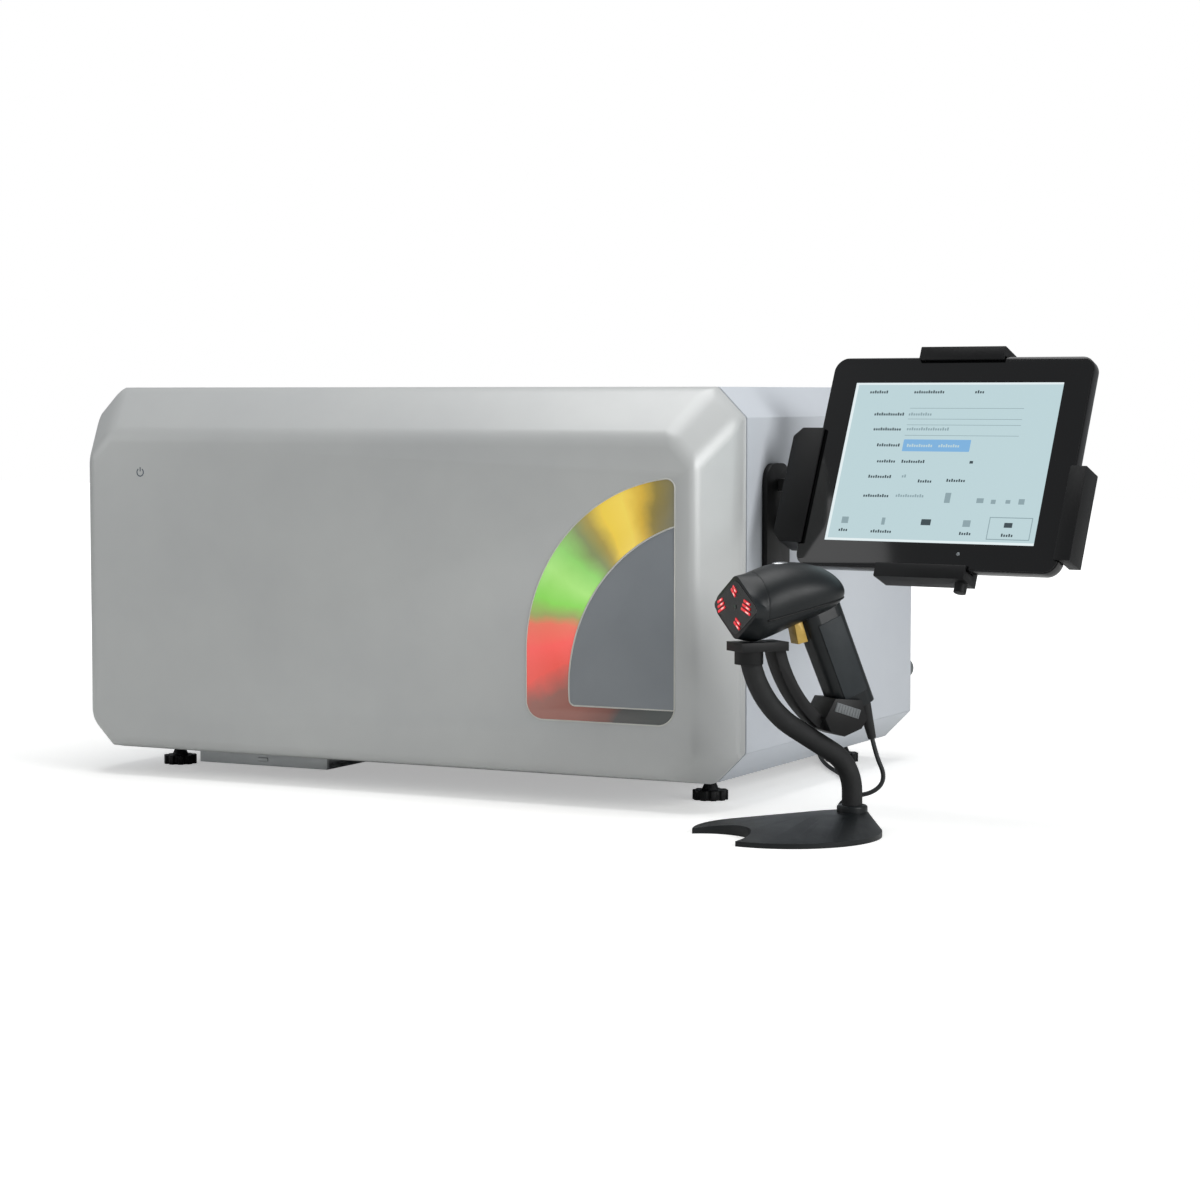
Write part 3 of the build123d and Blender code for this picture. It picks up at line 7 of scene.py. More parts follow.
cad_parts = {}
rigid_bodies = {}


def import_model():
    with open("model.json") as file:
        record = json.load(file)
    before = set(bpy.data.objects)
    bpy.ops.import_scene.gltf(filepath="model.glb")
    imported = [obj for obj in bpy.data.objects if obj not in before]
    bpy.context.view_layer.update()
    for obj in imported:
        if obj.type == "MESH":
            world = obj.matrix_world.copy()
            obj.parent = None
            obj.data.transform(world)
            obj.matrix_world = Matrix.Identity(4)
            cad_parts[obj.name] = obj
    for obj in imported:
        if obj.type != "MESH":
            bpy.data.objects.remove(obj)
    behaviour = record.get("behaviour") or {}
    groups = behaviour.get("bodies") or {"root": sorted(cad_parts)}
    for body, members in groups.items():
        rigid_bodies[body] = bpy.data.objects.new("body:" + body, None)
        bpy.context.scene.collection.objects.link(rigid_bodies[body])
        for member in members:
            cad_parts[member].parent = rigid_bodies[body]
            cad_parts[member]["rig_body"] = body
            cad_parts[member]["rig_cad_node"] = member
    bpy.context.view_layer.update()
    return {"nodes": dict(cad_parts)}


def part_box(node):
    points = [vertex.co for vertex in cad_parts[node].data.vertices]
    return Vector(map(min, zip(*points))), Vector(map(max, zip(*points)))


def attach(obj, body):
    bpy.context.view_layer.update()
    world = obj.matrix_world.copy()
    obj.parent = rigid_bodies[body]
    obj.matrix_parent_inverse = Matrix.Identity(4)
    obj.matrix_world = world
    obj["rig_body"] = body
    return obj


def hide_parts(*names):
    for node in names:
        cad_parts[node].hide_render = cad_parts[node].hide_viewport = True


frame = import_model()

print("frame loaded:", len(frame["nodes"]), "nodes")

mm = 0.001
coverLow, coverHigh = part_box("outer_cover")
middleX = (coverLow.x + coverHigh.x) / 2
seamY = coverLow.y


def cabinetPoint(x, y, z):  # millimetres from the cabinet's middle, the drawer's seam and the bench
    return Vector((middleX + x * mm, seamY + y * mm, z * mm))


def placeOf(origin, across, outward):
    across = Vector(across).normalized()
    outward = Vector(outward).normalized()
    turned = Matrix((across, outward.cross(across), outward)).transposed().to_4x4()
    return Matrix.Translation(origin) @ turned


def headingPlace(origin, heading):  # forward, left and up
    return Matrix.Translation(origin) @ Matrix.Rotation(math.radians(heading), 4, "Z")


tabletSettings = {"centre": (482.4, 7.7, 284.7), "lean": 22.7, "turn": -6.8}
tabletTurn = math.radians(tabletSettings["turn"])
tabletLean = math.radians(tabletSettings["lean"])
tabletLevel = Vector((math.sin(tabletTurn), -math.cos(tabletTurn), 0))
facePlace = placeOf(cabinetPoint(0, -58, 0), (1, 0, 0), (0, -1, 0))
rearPlace = placeOf(cabinetPoint(0, 372, 0), (-1, 0, 0), (0, 1, 0))
tabletPlace = placeOf(
    cabinetPoint(*tabletSettings["centre"]),
    (math.cos(tabletTurn), math.sin(tabletTurn), 0),
    tabletLevel * math.cos(tabletLean) + Vector((0, 0, math.sin(tabletLean))),
)
standPlace = headingPlace(cabinetPoint(405, -118, 0), -128)

# Camera, at the height of the cabinet's middle and to the right of it
cameraSettings = {"at": (1.152456, -2.2950, 0.3367), "turn": 26.97, "down": 3.96, "lens": 88.55}
bpy.ops.object.camera_add(location=cameraSettings["at"])
camera = bpy.context.active_object
camera.name = "camera"
cameraTurn = math.radians(cameraSettings["turn"])
cameraDown = math.radians(cameraSettings["down"])
cameraLook = Vector((
    -math.sin(cameraTurn) * math.cos(cameraDown),
    math.cos(cameraTurn) * math.cos(cameraDown),
    -math.sin(cameraDown),
))
camera.rotation_euler = cameraLook.to_track_quat("-Z", "Y").to_euler()
camera.data.lens = cameraSettings["lens"]
camera.data.sensor_width = 36
bpy.context.scene.camera = camera
print("camera placed")


# Nodes and colours

def hexColour(text, alpha=1.0):
    shades = [int(text[i:i + 2], 16) / 255 for i in (1, 3, 5)]
    return [s / 12.92 if s <= 0.04045 else ((s + 0.055) / 1.055) ** 2.4 for s in shades] + [alpha]


def addNode(tree, kind, settings=None, inputs=None):
    node = tree.nodes.new(kind)
    for key, value in (settings or {}).items():
        setattr(node, key, value)
    for key, value in (inputs or {}).items():
        if isinstance(value, bpy.types.NodeSocket):
            tree.links.new(value, node.inputs[key])
        else:
            node.inputs[key].default_value = value
    return node


def setStops(ramp, stops):
    band = ramp.color_ramp
    while len(band.elements) < len(stops):
        band.elements.new(0.5)
    for element, (position, colour) in zip(band.elements, stops):
        element.position = position
        element.color = hexColour(colour)


def makeFinish(name, look):
    # base and shade drift over driftMm; grainMm and grainDepthMm raise the surface;
    # drawn is the brushing direction
    material = bpy.data.materials.new(name)
    material.use_nodes = True
    tree = material.node_tree
    tree.nodes.clear()
    objectPoint = addNode(tree, "ShaderNodeTexCoord").outputs["Object"]
    stretch = look.get("drawn", (1, 1, 1))
    mapped = addNode(tree, "ShaderNodeMapping", inputs={
        "Vector": objectPoint, "Scale": stretch,
    }).outputs[0]
    drift = addNode(tree, "ShaderNodeTexNoise", inputs={
        "Vector": objectPoint, "Scale": 1 / (look["driftMm"] * mm), "Detail": 4.0, "Roughness": 0.6,
    }).outputs[0]
    grain = addNode(tree, "ShaderNodeTexNoise", inputs={
        "Vector": mapped, "Scale": 1 / (look["grainMm"] * mm), "Detail": 3.0, "Roughness": 0.55,
    }).outputs[0]
    shades = addNode(tree, "ShaderNodeValToRGB", inputs={"Fac": drift})
    setStops(shades, [(0.3, look["base"]), (0.7, look["shade"])])
    worn = addNode(tree, "ShaderNodeMath", {"operation": "MULTIPLY_ADD"}, {
        0: grain, 1: 0.5, 2: drift,
    }).outputs[0]
    rough = addNode(tree, "ShaderNodeMapRange", inputs={
        "Value": worn, "From Min": 0.45, "From Max": 1.05,
        "To Min": look["rough"][0], "To Max": look["rough"][1],
    }).outputs[0]
    raised = addNode(tree, "ShaderNodeBump", inputs={
        "Height": grain, "Strength": look.get("grainStrength", 0.5),
        "Distance": look["grainDepthMm"] * mm,
    }).outputs[0]
    shader = addNode(tree, "ShaderNodeBsdfPrincipled", inputs={
        "Base Color": shades.outputs[0], "Roughness": rough, "Normal": raised,
        "Metallic": look.get("metallic", 0.0),
    })
    for key, value in look.get("shader", {}).items():
        shader.inputs[key].default_value = value
    if "glow" in look:
        shader.inputs["Emission Color"].default_value = hexColour(look["glow"])
        shader.inputs["Emission Strength"].default_value = look["glowStrength"]
    addNode(tree, "ShaderNodeOutputMaterial", inputs={"Surface": shader.outputs[0]})
    return material


# Each finish is named for the real material and how its surface was made
finishLooks = {
    # Polyurethane moulding sprayed with satin silver lacquer: soft sheen, faint orange peel
    "sprayedSilverLacquer": {
        "base": "#c3c5c4", "shade": "#bbbdbd", "driftMm": 160, "grainMm": 1.6, "grainDepthMm": 0.03,
        "grainStrength": 0.25, "rough": (0.36, 0.48), "metallic": 0.12,
        "shader": {"Coat Weight": 0.15, "Coat Roughness": 0.3},
    },
    # Steel sheet with light grey powder coat: even, finely pebbled
    "powderCoatedSteel": {
        "base": "#c9ced4", "shade": "#c2c7ce", "driftMm": 190, "grainMm": 1.1, "grainDepthMm": 0.05,
        "grainStrength": 0.3, "rough": (0.42, 0.55), "metallic": 0.08,
    },
    # Zinc-plated sheet: bright, cloudy spangle
    "zincPlatedSteel": {
        "base": "#b9bcbe", "shade": "#9da1a4", "driftMm": 14, "grainMm": 0.6, "grainDepthMm": 0.02,
        "rough": (0.28, 0.48), "metallic": 1.0,
    },
    # Aluminium drawn through a brush: fine lines along its length
    "brushedAluminium": {
        "base": "#cfd1d2", "shade": "#bfc2c4", "driftMm": 60, "grainMm": 12, "grainDepthMm": 0.03,
        "drawn": (1, 24, 24), "rough": (0.26, 0.42), "metallic": 1.0,
    },
    # White polystyrene foam liner with a moulded skin: matt, slightly beaded
    "foamLinerSkin": {
        "base": "#e4e6e6", "shade": "#dadddd", "driftMm": 70, "grainMm": 3.2, "grainDepthMm": 0.2,
        "grainStrength": 0.35, "rough": (0.6, 0.75),
    },
    # Black moulded ABS with spark-eroded grain: dull sheen
    "grainedBlackAbs": {
        "base": "#0b0b0c", "shade": "#101112", "driftMm": 45, "grainMm": 0.7, "grainDepthMm": 0.05,
        "grainStrength": 0.4, "rough": (0.42, 0.56), "shader": {"Specular IOR Level": 0.25},
    },
    # Charcoal moulded ABS of the scanner: softly pebbled, bluish grey
    "pebbledCharcoalAbs": {
        "base": "#15191b", "shade": "#101416", "driftMm": 30, "grainMm": 0.8, "grainDepthMm": 0.05,
        "grainStrength": 0.35, "rough": (0.36, 0.48), "shader": {"Specular IOR Level": 0.3},
    },
    # Black ABS polished in the mould: deep gloss with faint wipe marks
    "polishedBlackAbs": {
        "base": "#050506", "shade": "#08080a", "driftMm": 40, "grainMm": 9, "grainDepthMm": 0.01,
        "rough": (0.12, 0.24), "shader": {"Coat Weight": 0.3, "Coat Roughness": 0.08},
    },
    # Grey moulded ABS: matt, fine grain
    "mouldedGreyAbs": {
        "base": "#7d8285", "shade": "#74797c", "driftMm": 35, "grainMm": 0.8, "grainDepthMm": 0.05,
        "grainStrength": 0.35, "rough": (0.45, 0.6),
    },
    # Slate grey lacquer on the window's inner panel: satin and even
    "slateLacquer": {
        "base": "#8c9196", "shade": "#868b90", "driftMm": 80, "grainMm": 1.2, "grainDepthMm": 0.02,
        "grainStrength": 0.25, "rough": (0.34, 0.46), "metallic": 0.1,
    },
    # Solder mask over copper: green and glassy with faint tracks
    "greenSolderMask": {
        "base": "#1d6b45", "shade": "#175a39", "driftMm": 3, "grainMm": 1.4, "grainDepthMm": 0.05,
        "rough": (0.25, 0.4),
    },
    # Toughened cover glass, printed black behind: mirror-smooth
    "blackCoverGlass": {
        "base": "#030304", "shade": "#050506", "driftMm": 90, "grainMm": 30, "grainDepthMm": 0.004,
        "grainStrength": 0.2, "rough": (0.05, 0.1), "shader": {"IOR": 1.52},
    },
    # Synthetic rubber: dead matt, faintly dusty
    "mouldedRubber": {
        "base": "#101112", "shade": "#161718", "driftMm": 9, "grainMm": 0.6, "grainDepthMm": 0.05,
        "rough": (0.68, 0.85),
    },
    # Grey silicone rubber: matt and smooth
    "greySilicone": {
        "base": "#6c7072", "shade": "#5f6365", "driftMm": 12, "grainMm": 0.7, "grainDepthMm": 0.04,
        "rough": (0.55, 0.7),
    },
    # Brass-coloured acetal of the trigger: satin
    "brassTonedAcetal": {
        "base": "#bd9d4c", "shade": "#a98a3d", "driftMm": 8, "grainMm": 0.6, "grainDepthMm": 0.04,
        "rough": (0.32, 0.45), "metallic": 0.15,
    },
    # White machined acetal of the gears: waxy, with cutter marks
    "machinedAcetal": {
        "base": "#e6e3d8", "shade": "#dcd9cc", "driftMm": 12, "grainMm": 4, "grainDepthMm": 0.03,
        "drawn": (6, 1, 6), "rough": (0.32, 0.45),
        "shader": {"Subsurface Weight": 0.05, "Subsurface Scale": 0.002},
    },
    # Silver-painted bezel of the disc drive; its base is partly the paint's own silver and partly painted
    # light, made paler to lift it out of the cabinet's shade
    "silverBezelWithPaintedLight": {
        "base": "#d2d5d7", "shade": "#c8ccce", "driftMm": 25, "grainMm": 0.7, "grainDepthMm": 0.03,
        "rough": (0.32, 0.45), "metallic": 0.15,
    },
    # Brushed stainless steel: bright, fine lines
    "brushedStainless": {
        "base": "#c6c8ca", "shade": "#b4b7b9", "driftMm": 30, "grainMm": 8, "grainDepthMm": 0.02,
        "drawn": (20, 1, 20), "rough": (0.22, 0.36), "metallic": 1.0,
    },
    # PVC jacket of the cord: smooth, slightly oily sheen
    "extrudedPvc": {
        "base": "#1e2022", "shade": "#26282a", "driftMm": 14, "grainMm": 2.5, "grainDepthMm": 0.03,
        "rough": (0.38, 0.52),
    },
    # Pale edge trim round the window: clear lacquer over white
    "paleTrim": {
        "base": "#cfcfc9", "shade": "#c2c2bc", "driftMm": 20, "grainMm": 1.2, "grainDepthMm": 0.02,
        "rough": (0.28, 0.4),
    },
    # Printed ink on the face: flat blue-black
    "padPrintedInk": {
        "base": "#3a4a5c", "shade": "#334252", "driftMm": 6, "grainMm": 0.5, "grainDepthMm": 0.01,
        "rough": (0.45, 0.6),
    },
    # Red lens of the scanner's lamps, lit from inside
    "litRedLens": {
        "base": "#4a1014", "shade": "#3c0d10", "driftMm": 6, "grainMm": 1.5, "grainDepthMm": 0.02,
        "rough": (0.12, 0.2), "glow": "#f0303c", "glowStrength": 0.85,
    },
    # Hottest part of those lenses: pale pink
    "litPaleLens": {
        "base": "#6a4040", "shade": "#5c3838", "driftMm": 6, "grainMm": 1.5, "grainDepthMm": 0.02,
        "rough": (0.12, 0.2), "glow": "#ffc8c2", "glowStrength": 1.0,
    },
    # Coated glass lens: dark green reflection
    "coatedLensGlass": {
        "base": "#0f2a22", "shade": "#0c221c", "driftMm": 3, "grainMm": 4, "grainDepthMm": 0.002,
        "rough": (0.04, 0.08), "shader": {"IOR": 1.6},
    },
    # Soft-touch coating on the grip: dull, faintly lighter than the shell
    "softTouchCoating": {
        "base": "#262b2e", "shade": "#202528", "driftMm": 25, "grainMm": 0.6, "grainDepthMm": 0.03,
        "grainStrength": 0.3, "rough": (0.5, 0.62), "shader": {"Specular IOR Level": 0.3},
    },
    # Liquid crystal display seen through the glass, evenly lit from behind
    "litScreenPale": {
        "base": "#39474b", "shade": "#3b484c", "driftMm": 70, "grainMm": 0.8, "grainDepthMm": 0.005,
        "rough": (0.14, 0.2), "glow": "#bdd3d7", "glowStrength": 0.92,
    },
    "litScreenWhite": {
        "base": "#4a5355", "shade": "#4c5557", "driftMm": 60, "grainMm": 0.8, "grainDepthMm": 0.005,
        "rough": (0.14, 0.2), "glow": "#e4eef0", "glowStrength": 0.92,
    },
    "litScreenBlue": {
        "base": "#20323f", "shade": "#223541", "driftMm": 40, "grainMm": 0.8, "grainDepthMm": 0.005,
        "rough": (0.14, 0.2), "glow": "#7fb2de", "glowStrength": 0.92,
    },
    "litScreenGrey": {
        "base": "#273033", "shade": "#293235", "driftMm": 40, "grainMm": 0.8, "grainDepthMm": 0.005,
        "rough": (0.14, 0.2), "glow": "#8fa5ab", "glowStrength": 0.9,
    },
    "litScreenInk": {
        "base": "#15191b", "shade": "#171b1d", "driftMm": 40, "grainMm": 0.8, "grainDepthMm": 0.005,
        "rough": (0.14, 0.2), "glow": "#3f4e54", "glowStrength": 0.8,
    },
}
finishes = {name: makeFinish(name, look) for name, look in finishLooks.items()}

# Tinted polycarbonate window, lit in fields along its arc: glow spreads softly and fades between the lamps
windowSettings = {
    "centre": (262, 150), "span": 100, "glowStrength": 0.42, "cloudScale": 38.0, "cloudReach": 0.16,
    "cloudMiddle": 0.08, "ripple": 0.05,
}
windowStops = [
    (0.05, "#3c403f"), (0.17, "#454443"), (0.2, "#6d4a43"), (0.27, "#85584f"), (0.34, "#8b5d54"),
    (0.39, "#e2594f"), (0.45, "#f2605a"), (0.5, "#e2745f"), (0.525, "#98a060"), (0.56, "#86cf57"),
    (0.62, "#a4dd78"), (0.68, "#8ccb68"), (0.735, "#7f8a5c"), (0.775, "#a08f4a"), (0.82, "#e2c348"),
    (0.875, "#e6c956"), (0.915, "#c7a43c"), (0.95, "#83743c"), (1.0, "#6d6a54"),
]


def makeWindowFinish():
    material = bpy.data.materials.new("tintedLitPolycarbonate")
    material.use_nodes = True
    tree = material.node_tree
    tree.nodes.clear()
    centre = cabinetPoint(windowSettings["centre"][0], 0, windowSettings["centre"][1])
    point = addNode(tree, "ShaderNodeTexCoord").outputs["Object"]
    fromCentre = addNode(tree, "ShaderNodeMapping", inputs={"Vector": point, "Location": -centre}).outputs[0]
    parts = addNode(tree, "ShaderNodeSeparateXYZ", inputs={"Vector": fromCentre}).outputs
    leftward = addNode(tree, "ShaderNodeMath", {"operation": "MULTIPLY"}, {
        0: parts["X"], 1: -1.0,
    }).outputs[0]
    angle = addNode(tree, "ShaderNodeMath", {"operation": "ARCTAN2"}, {
        0: parts["Z"], 1: leftward,
    }).outputs[0]
    cloud = addNode(tree, "ShaderNodeTexNoise", inputs={
        "Vector": point, "Scale": windowSettings["cloudScale"], "Detail": 3.0,
    }).outputs[0]
    bent = addNode(tree, "ShaderNodeMath", {"operation": "MULTIPLY_ADD"}, {
        0: cloud, 1: windowSettings["cloudReach"], 2: angle,
    }).outputs[0]
    span = math.radians(windowSettings["span"])
    middle = windowSettings["cloudMiddle"]
    along = addNode(tree, "ShaderNodeMapRange", inputs={
        "Value": bent, "From Min": middle - span, "From Max": middle + span, "To Min": 0.0, "To Max": 1.0,
    }).outputs[0]
    colours = addNode(tree, "ShaderNodeValToRGB", inputs={"Fac": along})
    setStops(colours, windowStops)
    raised = addNode(tree, "ShaderNodeBump", inputs={
        "Height": cloud, "Strength": 0.15, "Distance": windowSettings["ripple"] * mm,
    }).outputs[0]
    shader = addNode(tree, "ShaderNodeBsdfPrincipled", inputs={
        "Base Color": colours.outputs[0], "Emission Color": colours.outputs[0], "Normal": raised,
        "Emission Strength": windowSettings["glowStrength"], "Roughness": 0.22, "IOR": 1.58,
    })
    addNode(tree, "ShaderNodeOutputMaterial", inputs={"Surface": shader.outputs[0]})
    return material


finishes["tintedLitPolycarbonate"] = makeWindowFinish()
print("finishes made:", len(finishes))


# Handling of pieces

def pickOnly(*pieces):
    bpy.ops.object.select_all(action="DESELECT")
    for piece in pieces:
        piece.select_set(True)
    bpy.context.view_layer.objects.active = pieces[0]


def smooth(piece, angle=35):
    pickOnly(piece)
    bpy.ops.object.shade_smooth_by_angle(angle=math.radians(angle))


def settle(piece, name, place, body, finish):
    # Puts the piece in its place, with the place in its mesh, and gives it a body and a finish
    piece.name = name
    piece.matrix_world = place @ piece.matrix_world
    pickOnly(piece)
    bpy.ops.object.transform_apply(location=True, rotation=True, scale=True)
    piece.data.materials.clear()
    piece.data.materials.append(finishes[finish])
    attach(piece, body)
    return piece


def editAll(piece):
    pickOnly(piece)
    bpy.ops.object.mode_set(mode="EDIT")
    bpy.ops.mesh.select_all(action="SELECT")


def leaveEdit():
    bpy.ops.object.mode_set(mode="OBJECT")


def joinAll(pieces):
    pickOnly(*pieces)
    if len(pieces) > 1:
        bpy.ops.object.join()
    return bpy.context.active_object


def roundedBlock(x, y, z, edge, segments=2):
    # Block with softened edges; ranges in millimetres of its own place
    size = [(high - low) * mm for low, high in (x, y, z)]
    centre = [(high + low) / 2 * mm for low, high in (x, y, z)]
    bpy.ops.mesh.primitive_cube_add(size=1, location=centre)
    block = bpy.context.active_object
    block.scale = size
    bpy.ops.object.transform_apply(location=False, rotation=False, scale=True)
    editAll(block)
    bpy.ops.mesh.bevel(offset=edge * mm, segments=segments, affect="EDGES")
    leaveEdit()
    smooth(block)
    return block


def copied(piece, place):
    twin = piece.copy()
    twin.data = piece.data.copy()
    bpy.context.scene.collection.objects.link(twin)
    twin.matrix_world = place @ twin.matrix_world
    return twin


# Copies of CAD nodes, merged; angles in degrees and lengths in millimetres
copySettings = {
    "mergeGap": 0.01, "flatAngle": 0.6, "bevelAngle": 40, "bevelSegments": 2, "beadAngle": 60,
    "beadSegments": 2,
}


def nodeCopy(name, flatten=True):
    # flatten joins the facets that lie in one plane
    source = frame["nodes"][name]
    piece = source.copy()
    piece.data = source.data.copy()
    bpy.context.scene.collection.objects.link(piece)
    piece.parent = None
    piece.hide_render = False
    piece.hide_viewport = False
    del piece["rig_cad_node"]
    editAll(piece)
    bpy.ops.mesh.customdata_custom_splitnormals_clear()
    bpy.ops.mesh.remove_doubles(threshold=copySettings["mergeGap"] * mm)
    if flatten:
        bpy.ops.mesh.dissolve_limited(angle_limit=math.radians(copySettings["flatAngle"]))
    bpy.ops.mesh.select_all(action="DESELECT")
    leaveEdit()
    return piece


def beadFromEdges(radius):
    # Keeps the edges selected in edit mode and makes them a round bead
    bpy.ops.mesh.select_mode(type="EDGE")
    bpy.ops.mesh.select_all(action="INVERT")
    bpy.ops.mesh.delete(type="EDGE_FACE")
    bpy.ops.mesh.select_all(action="SELECT")
    bpy.ops.mesh.delete_loose(use_verts=True, use_edges=False, use_faces=False)
    leaveEdit()
    bpy.ops.object.convert(target="CURVE")
    bead = bpy.context.active_object
    bead.data.bevel_depth = radius * mm
    bead.data.bevel_resolution = copySettings["beadSegments"]
    bpy.ops.object.convert(target="MESH")
    bead = bpy.context.active_object
    smooth(bead, copySettings["beadAngle"])
    return bead


# CAD nodes: finish, softened edge in millimetres (None keeps the node itself), record's slot
nodeFinishes = {
    "outer_cover": ("powderCoatedSteel", 0.8, "silver_case"),
    "base_pan": ("powderCoatedSteel", 0.5, "silver_case"),
    "front_frame": ("powderCoatedSteel", None, "silver_case"),
    "rear_panel": ("powderCoatedSteel", None, "silver_case"),
    "drawer_front": ("sprayedSilverLacquer", 0.8, "silver_front"),
    "status_window": ("tintedLitPolycarbonate", 0.3, "light_window"),
    "status_panel": ("slateLacquer", 0.5, "slate_panel"),
    "status_lamps": ("mouldedGreyAbs", None, "grey_plastic"),
    "chamber_liner": ("foamLinerSkin", None, "white_foam_liner"),
    "drawer_inner_panel": ("foamLinerSkin", None, "white_foam_liner"),
    "door_seal": ("mouldedRubber", None, "soft_rubber"),
    "heater_plate": ("brushedAluminium", None, "aluminium"),
    "fixed_rails": ("zincPlatedSteel", None, "steel"),
    "middle_rails": ("zincPlatedSteel", None, "steel"),
    "drawer_rails": ("zincPlatedSteel", None, "steel"),
    "drawer_tray": ("zincPlatedSteel", None, "steel"),
    "rack_supports": ("zincPlatedSteel", None, "steel"),
    "rack_frame": ("brushedAluminium", None, "aluminium"),
    "row_dividers": ("mouldedGreyAbs", None, "grey_plastic"),
    "cross_dividers": ("mouldedGreyAbs", None, "grey_plastic"),
    "rack_deck": ("grainedBlackAbs", 0.3, "black_plastic"),
    "sensor_board": ("greenSolderMask", None, "board_green"),
    "sector_gear": ("machinedAcetal", None, "acetal"),
    "motor_pinion": ("machinedAcetal", None, "acetal"),
    "rocker_motor": ("brushedStainless", 0.4, "steel"),
    "fan_frame": ("grainedBlackAbs", 0.4, "black_plastic"),
    "fan_rotor": ("grainedBlackAbs", 0, "black_plastic"),
    "power_inlet": ("grainedBlackAbs", 0.4, "black_plastic"),
    "power_rocker": ("polishedBlackAbs", 0.4, "gloss_black"),
    "port_block": ("zincPlatedSteel", 0.3, "steel"),
    "power_supply": ("zincPlatedSteel", None, "steel"),
    "main_board": ("greenSolderMask", None, "board_green"),
    "rear_bumpers": ("greySilicone", 0, "grey_rubber"),
    "foot_front_left": ("grainedBlackAbs", 0.5, "black_plastic"),
    "foot_front_right": ("grainedBlackAbs", 0.5, "black_plastic"),
    "foot_rear_left": ("grainedBlackAbs", 0.5, "black_plastic"),
    "foot_rear_right": ("grainedBlackAbs", 0.5, "black_plastic"),
    "drive_housing": ("brushedStainless", 0.3, "steel"),
    "disc_tray": ("silverBezelWithPaintedLight", 0.3, "silver_bezel"),
    "eject_button": ("silverBezelWithPaintedLight", 0.3, "silver_bezel"),
    "tablet_housing": ("polishedBlackAbs", 0.5, "gloss_black"),
    "tablet_glass": ("blackCoverGlass", 0.3, "screen_glass"),
    "tablet_holder": ("grainedBlackAbs", 0.8, "black_plastic"),
    "sliding_claw": ("grainedBlackAbs", 0.8, "black_plastic"),
    "swivel_head": ("grainedBlackAbs", 0.6, "black_plastic"),
    "arm_link": ("grainedBlackAbs", 0.8, "black_plastic"),
    "wall_bracket": ("grainedBlackAbs", 0.8, "black_plastic"),
    "stand_base": ("pebbledCharcoalAbs", 0, "charcoal_plastic"),
    "gooseneck": ("mouldedRubber", 0, "soft_rubber"),
    "scanner_cradle": ("grainedBlackAbs", 0.6, "black_plastic"),
    "scanner_head": ("pebbledCharcoalAbs", 0.4, "charcoal_plastic"),
    "scanner_nose": ("pebbledCharcoalAbs", 1.6, "charcoal_plastic"),
    "scanner_grip": ("pebbledCharcoalAbs", 0.4, "charcoal_plastic"),
    "scanner_trigger": ("brassTonedAcetal", 0.4, "brass_trigger"),
    "strain_relief": ("mouldedRubber", 0.2, "soft_rubber"),
    "usb_plug": ("grainedBlackAbs", 0.3, "black_plastic"),
}


frontSettings = {"round": 9, "segments": 5, "outward": -0.3, "corner": 15}


def roundFront(piece):
    # Rounds the long edges of the front, where its face and bevels meet
    facesAt = {}
    for face in piece.data.polygons:
        for key in face.edge_keys:
            facesAt.setdefault(key, []).append(face.normal)
    for edge in piece.data.edges:
        normals = facesAt[edge.key]
        outward = len(normals) == 2 and all(normal.y < frontSettings["outward"] for normal in normals)
        edge.select = outward and normals[0].angle(normals[1]) > math.radians(frontSettings["corner"])
    bpy.ops.object.mode_set(mode="EDIT")
    bpy.ops.mesh.select_mode(type="EDGE")
    bpy.ops.mesh.bevel(offset=frontSettings["round"] * mm, segments=frontSettings["segments"], affect="EDGES")
    leaveEdit()


def refined(name, edge, finish):
    # A merged copy of a CAD node with softened edges, which stands for it
    piece = nodeCopy(name)
    if name == "drawer_front":
        roundFront(piece)
    if edge:
        bevel = piece.modifiers.new("softEdge", "BEVEL")
        bevel.width = edge * mm
        bevel.segments = copySettings["bevelSegments"]
        bevel.limit_method = "ANGLE"
        bevel.angle_limit = math.radians(copySettings["bevelAngle"])
        bevel.harden_normals = False
        bpy.ops.object.modifier_apply(modifier=bevel.name)
    smooth(piece)
    body = frame["nodes"][name]["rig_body"]
    settle(piece, name + "_finished", Matrix.Identity(4), body, finish)
    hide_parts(name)
    return piece


for nodeName, (finishName, softEdge, slotName) in nodeFinishes.items():
    if softEdge is None:
        node = frame["nodes"][nodeName]
        node.data.materials.clear()
        node.data.materials.append(finishes[finishName])
    else:
        refined(nodeName, softEdge, finishName)
print("CAD nodes finished:", len(nodeFinishes))


# Scanner's cord: out of the strain relief, down, behind the stand and to its coil behind the cabinet
cordSettings = {"radius": 0.0018, "length": 2.02}
coilSettings = {
    "centre": (0.190, 0.425), "radius": 0.021, "turns": 10, "pointsPerTurn": 16, "startAngle": -20,
    "lastAngle": 140, "rest": 0.0019, "rise": 0.0035, "lanesPerLayer": 3, "laneShift": 3,
    "lanes": (2.9, -0.7, -4.2, -3.2, 0.3, 3.8),  # even layers wind inwards and odd ones outwards
    "sway": 0.00012, "swayStep": 1.7,
}
cordFromScanner = [
    (-0.0750, 0.0, 0.0710), (-0.0792, 0.0, 0.0558), (-0.0865, -0.0010, 0.0430), (-0.0860, -0.0030, 0.0335),
    (-0.0785, -0.0065, 0.0270), (-0.0680, -0.0130, 0.0245), (-0.0615, -0.0240, 0.0190),
    (-0.0670, -0.0390, 0.0095), (-0.0790, -0.0500, 0.0020),
]
cordOnFloor = [
    (0.409, -0.002, 0.0019), (0.399, 0.030, 0.0019), (0.384, 0.072, 0.0019), (0.365, 0.118, 0.0019),
    (0.342, 0.168, 0.0019), (0.313, 0.219, 0.0019), (0.281, 0.265, 0.0019), (0.254, 0.312, 0.0019),
    (0.232, 0.358, 0.0019), (0.2145, 0.392, 0.0019), (0.211, 0.413, 0.0019),
]
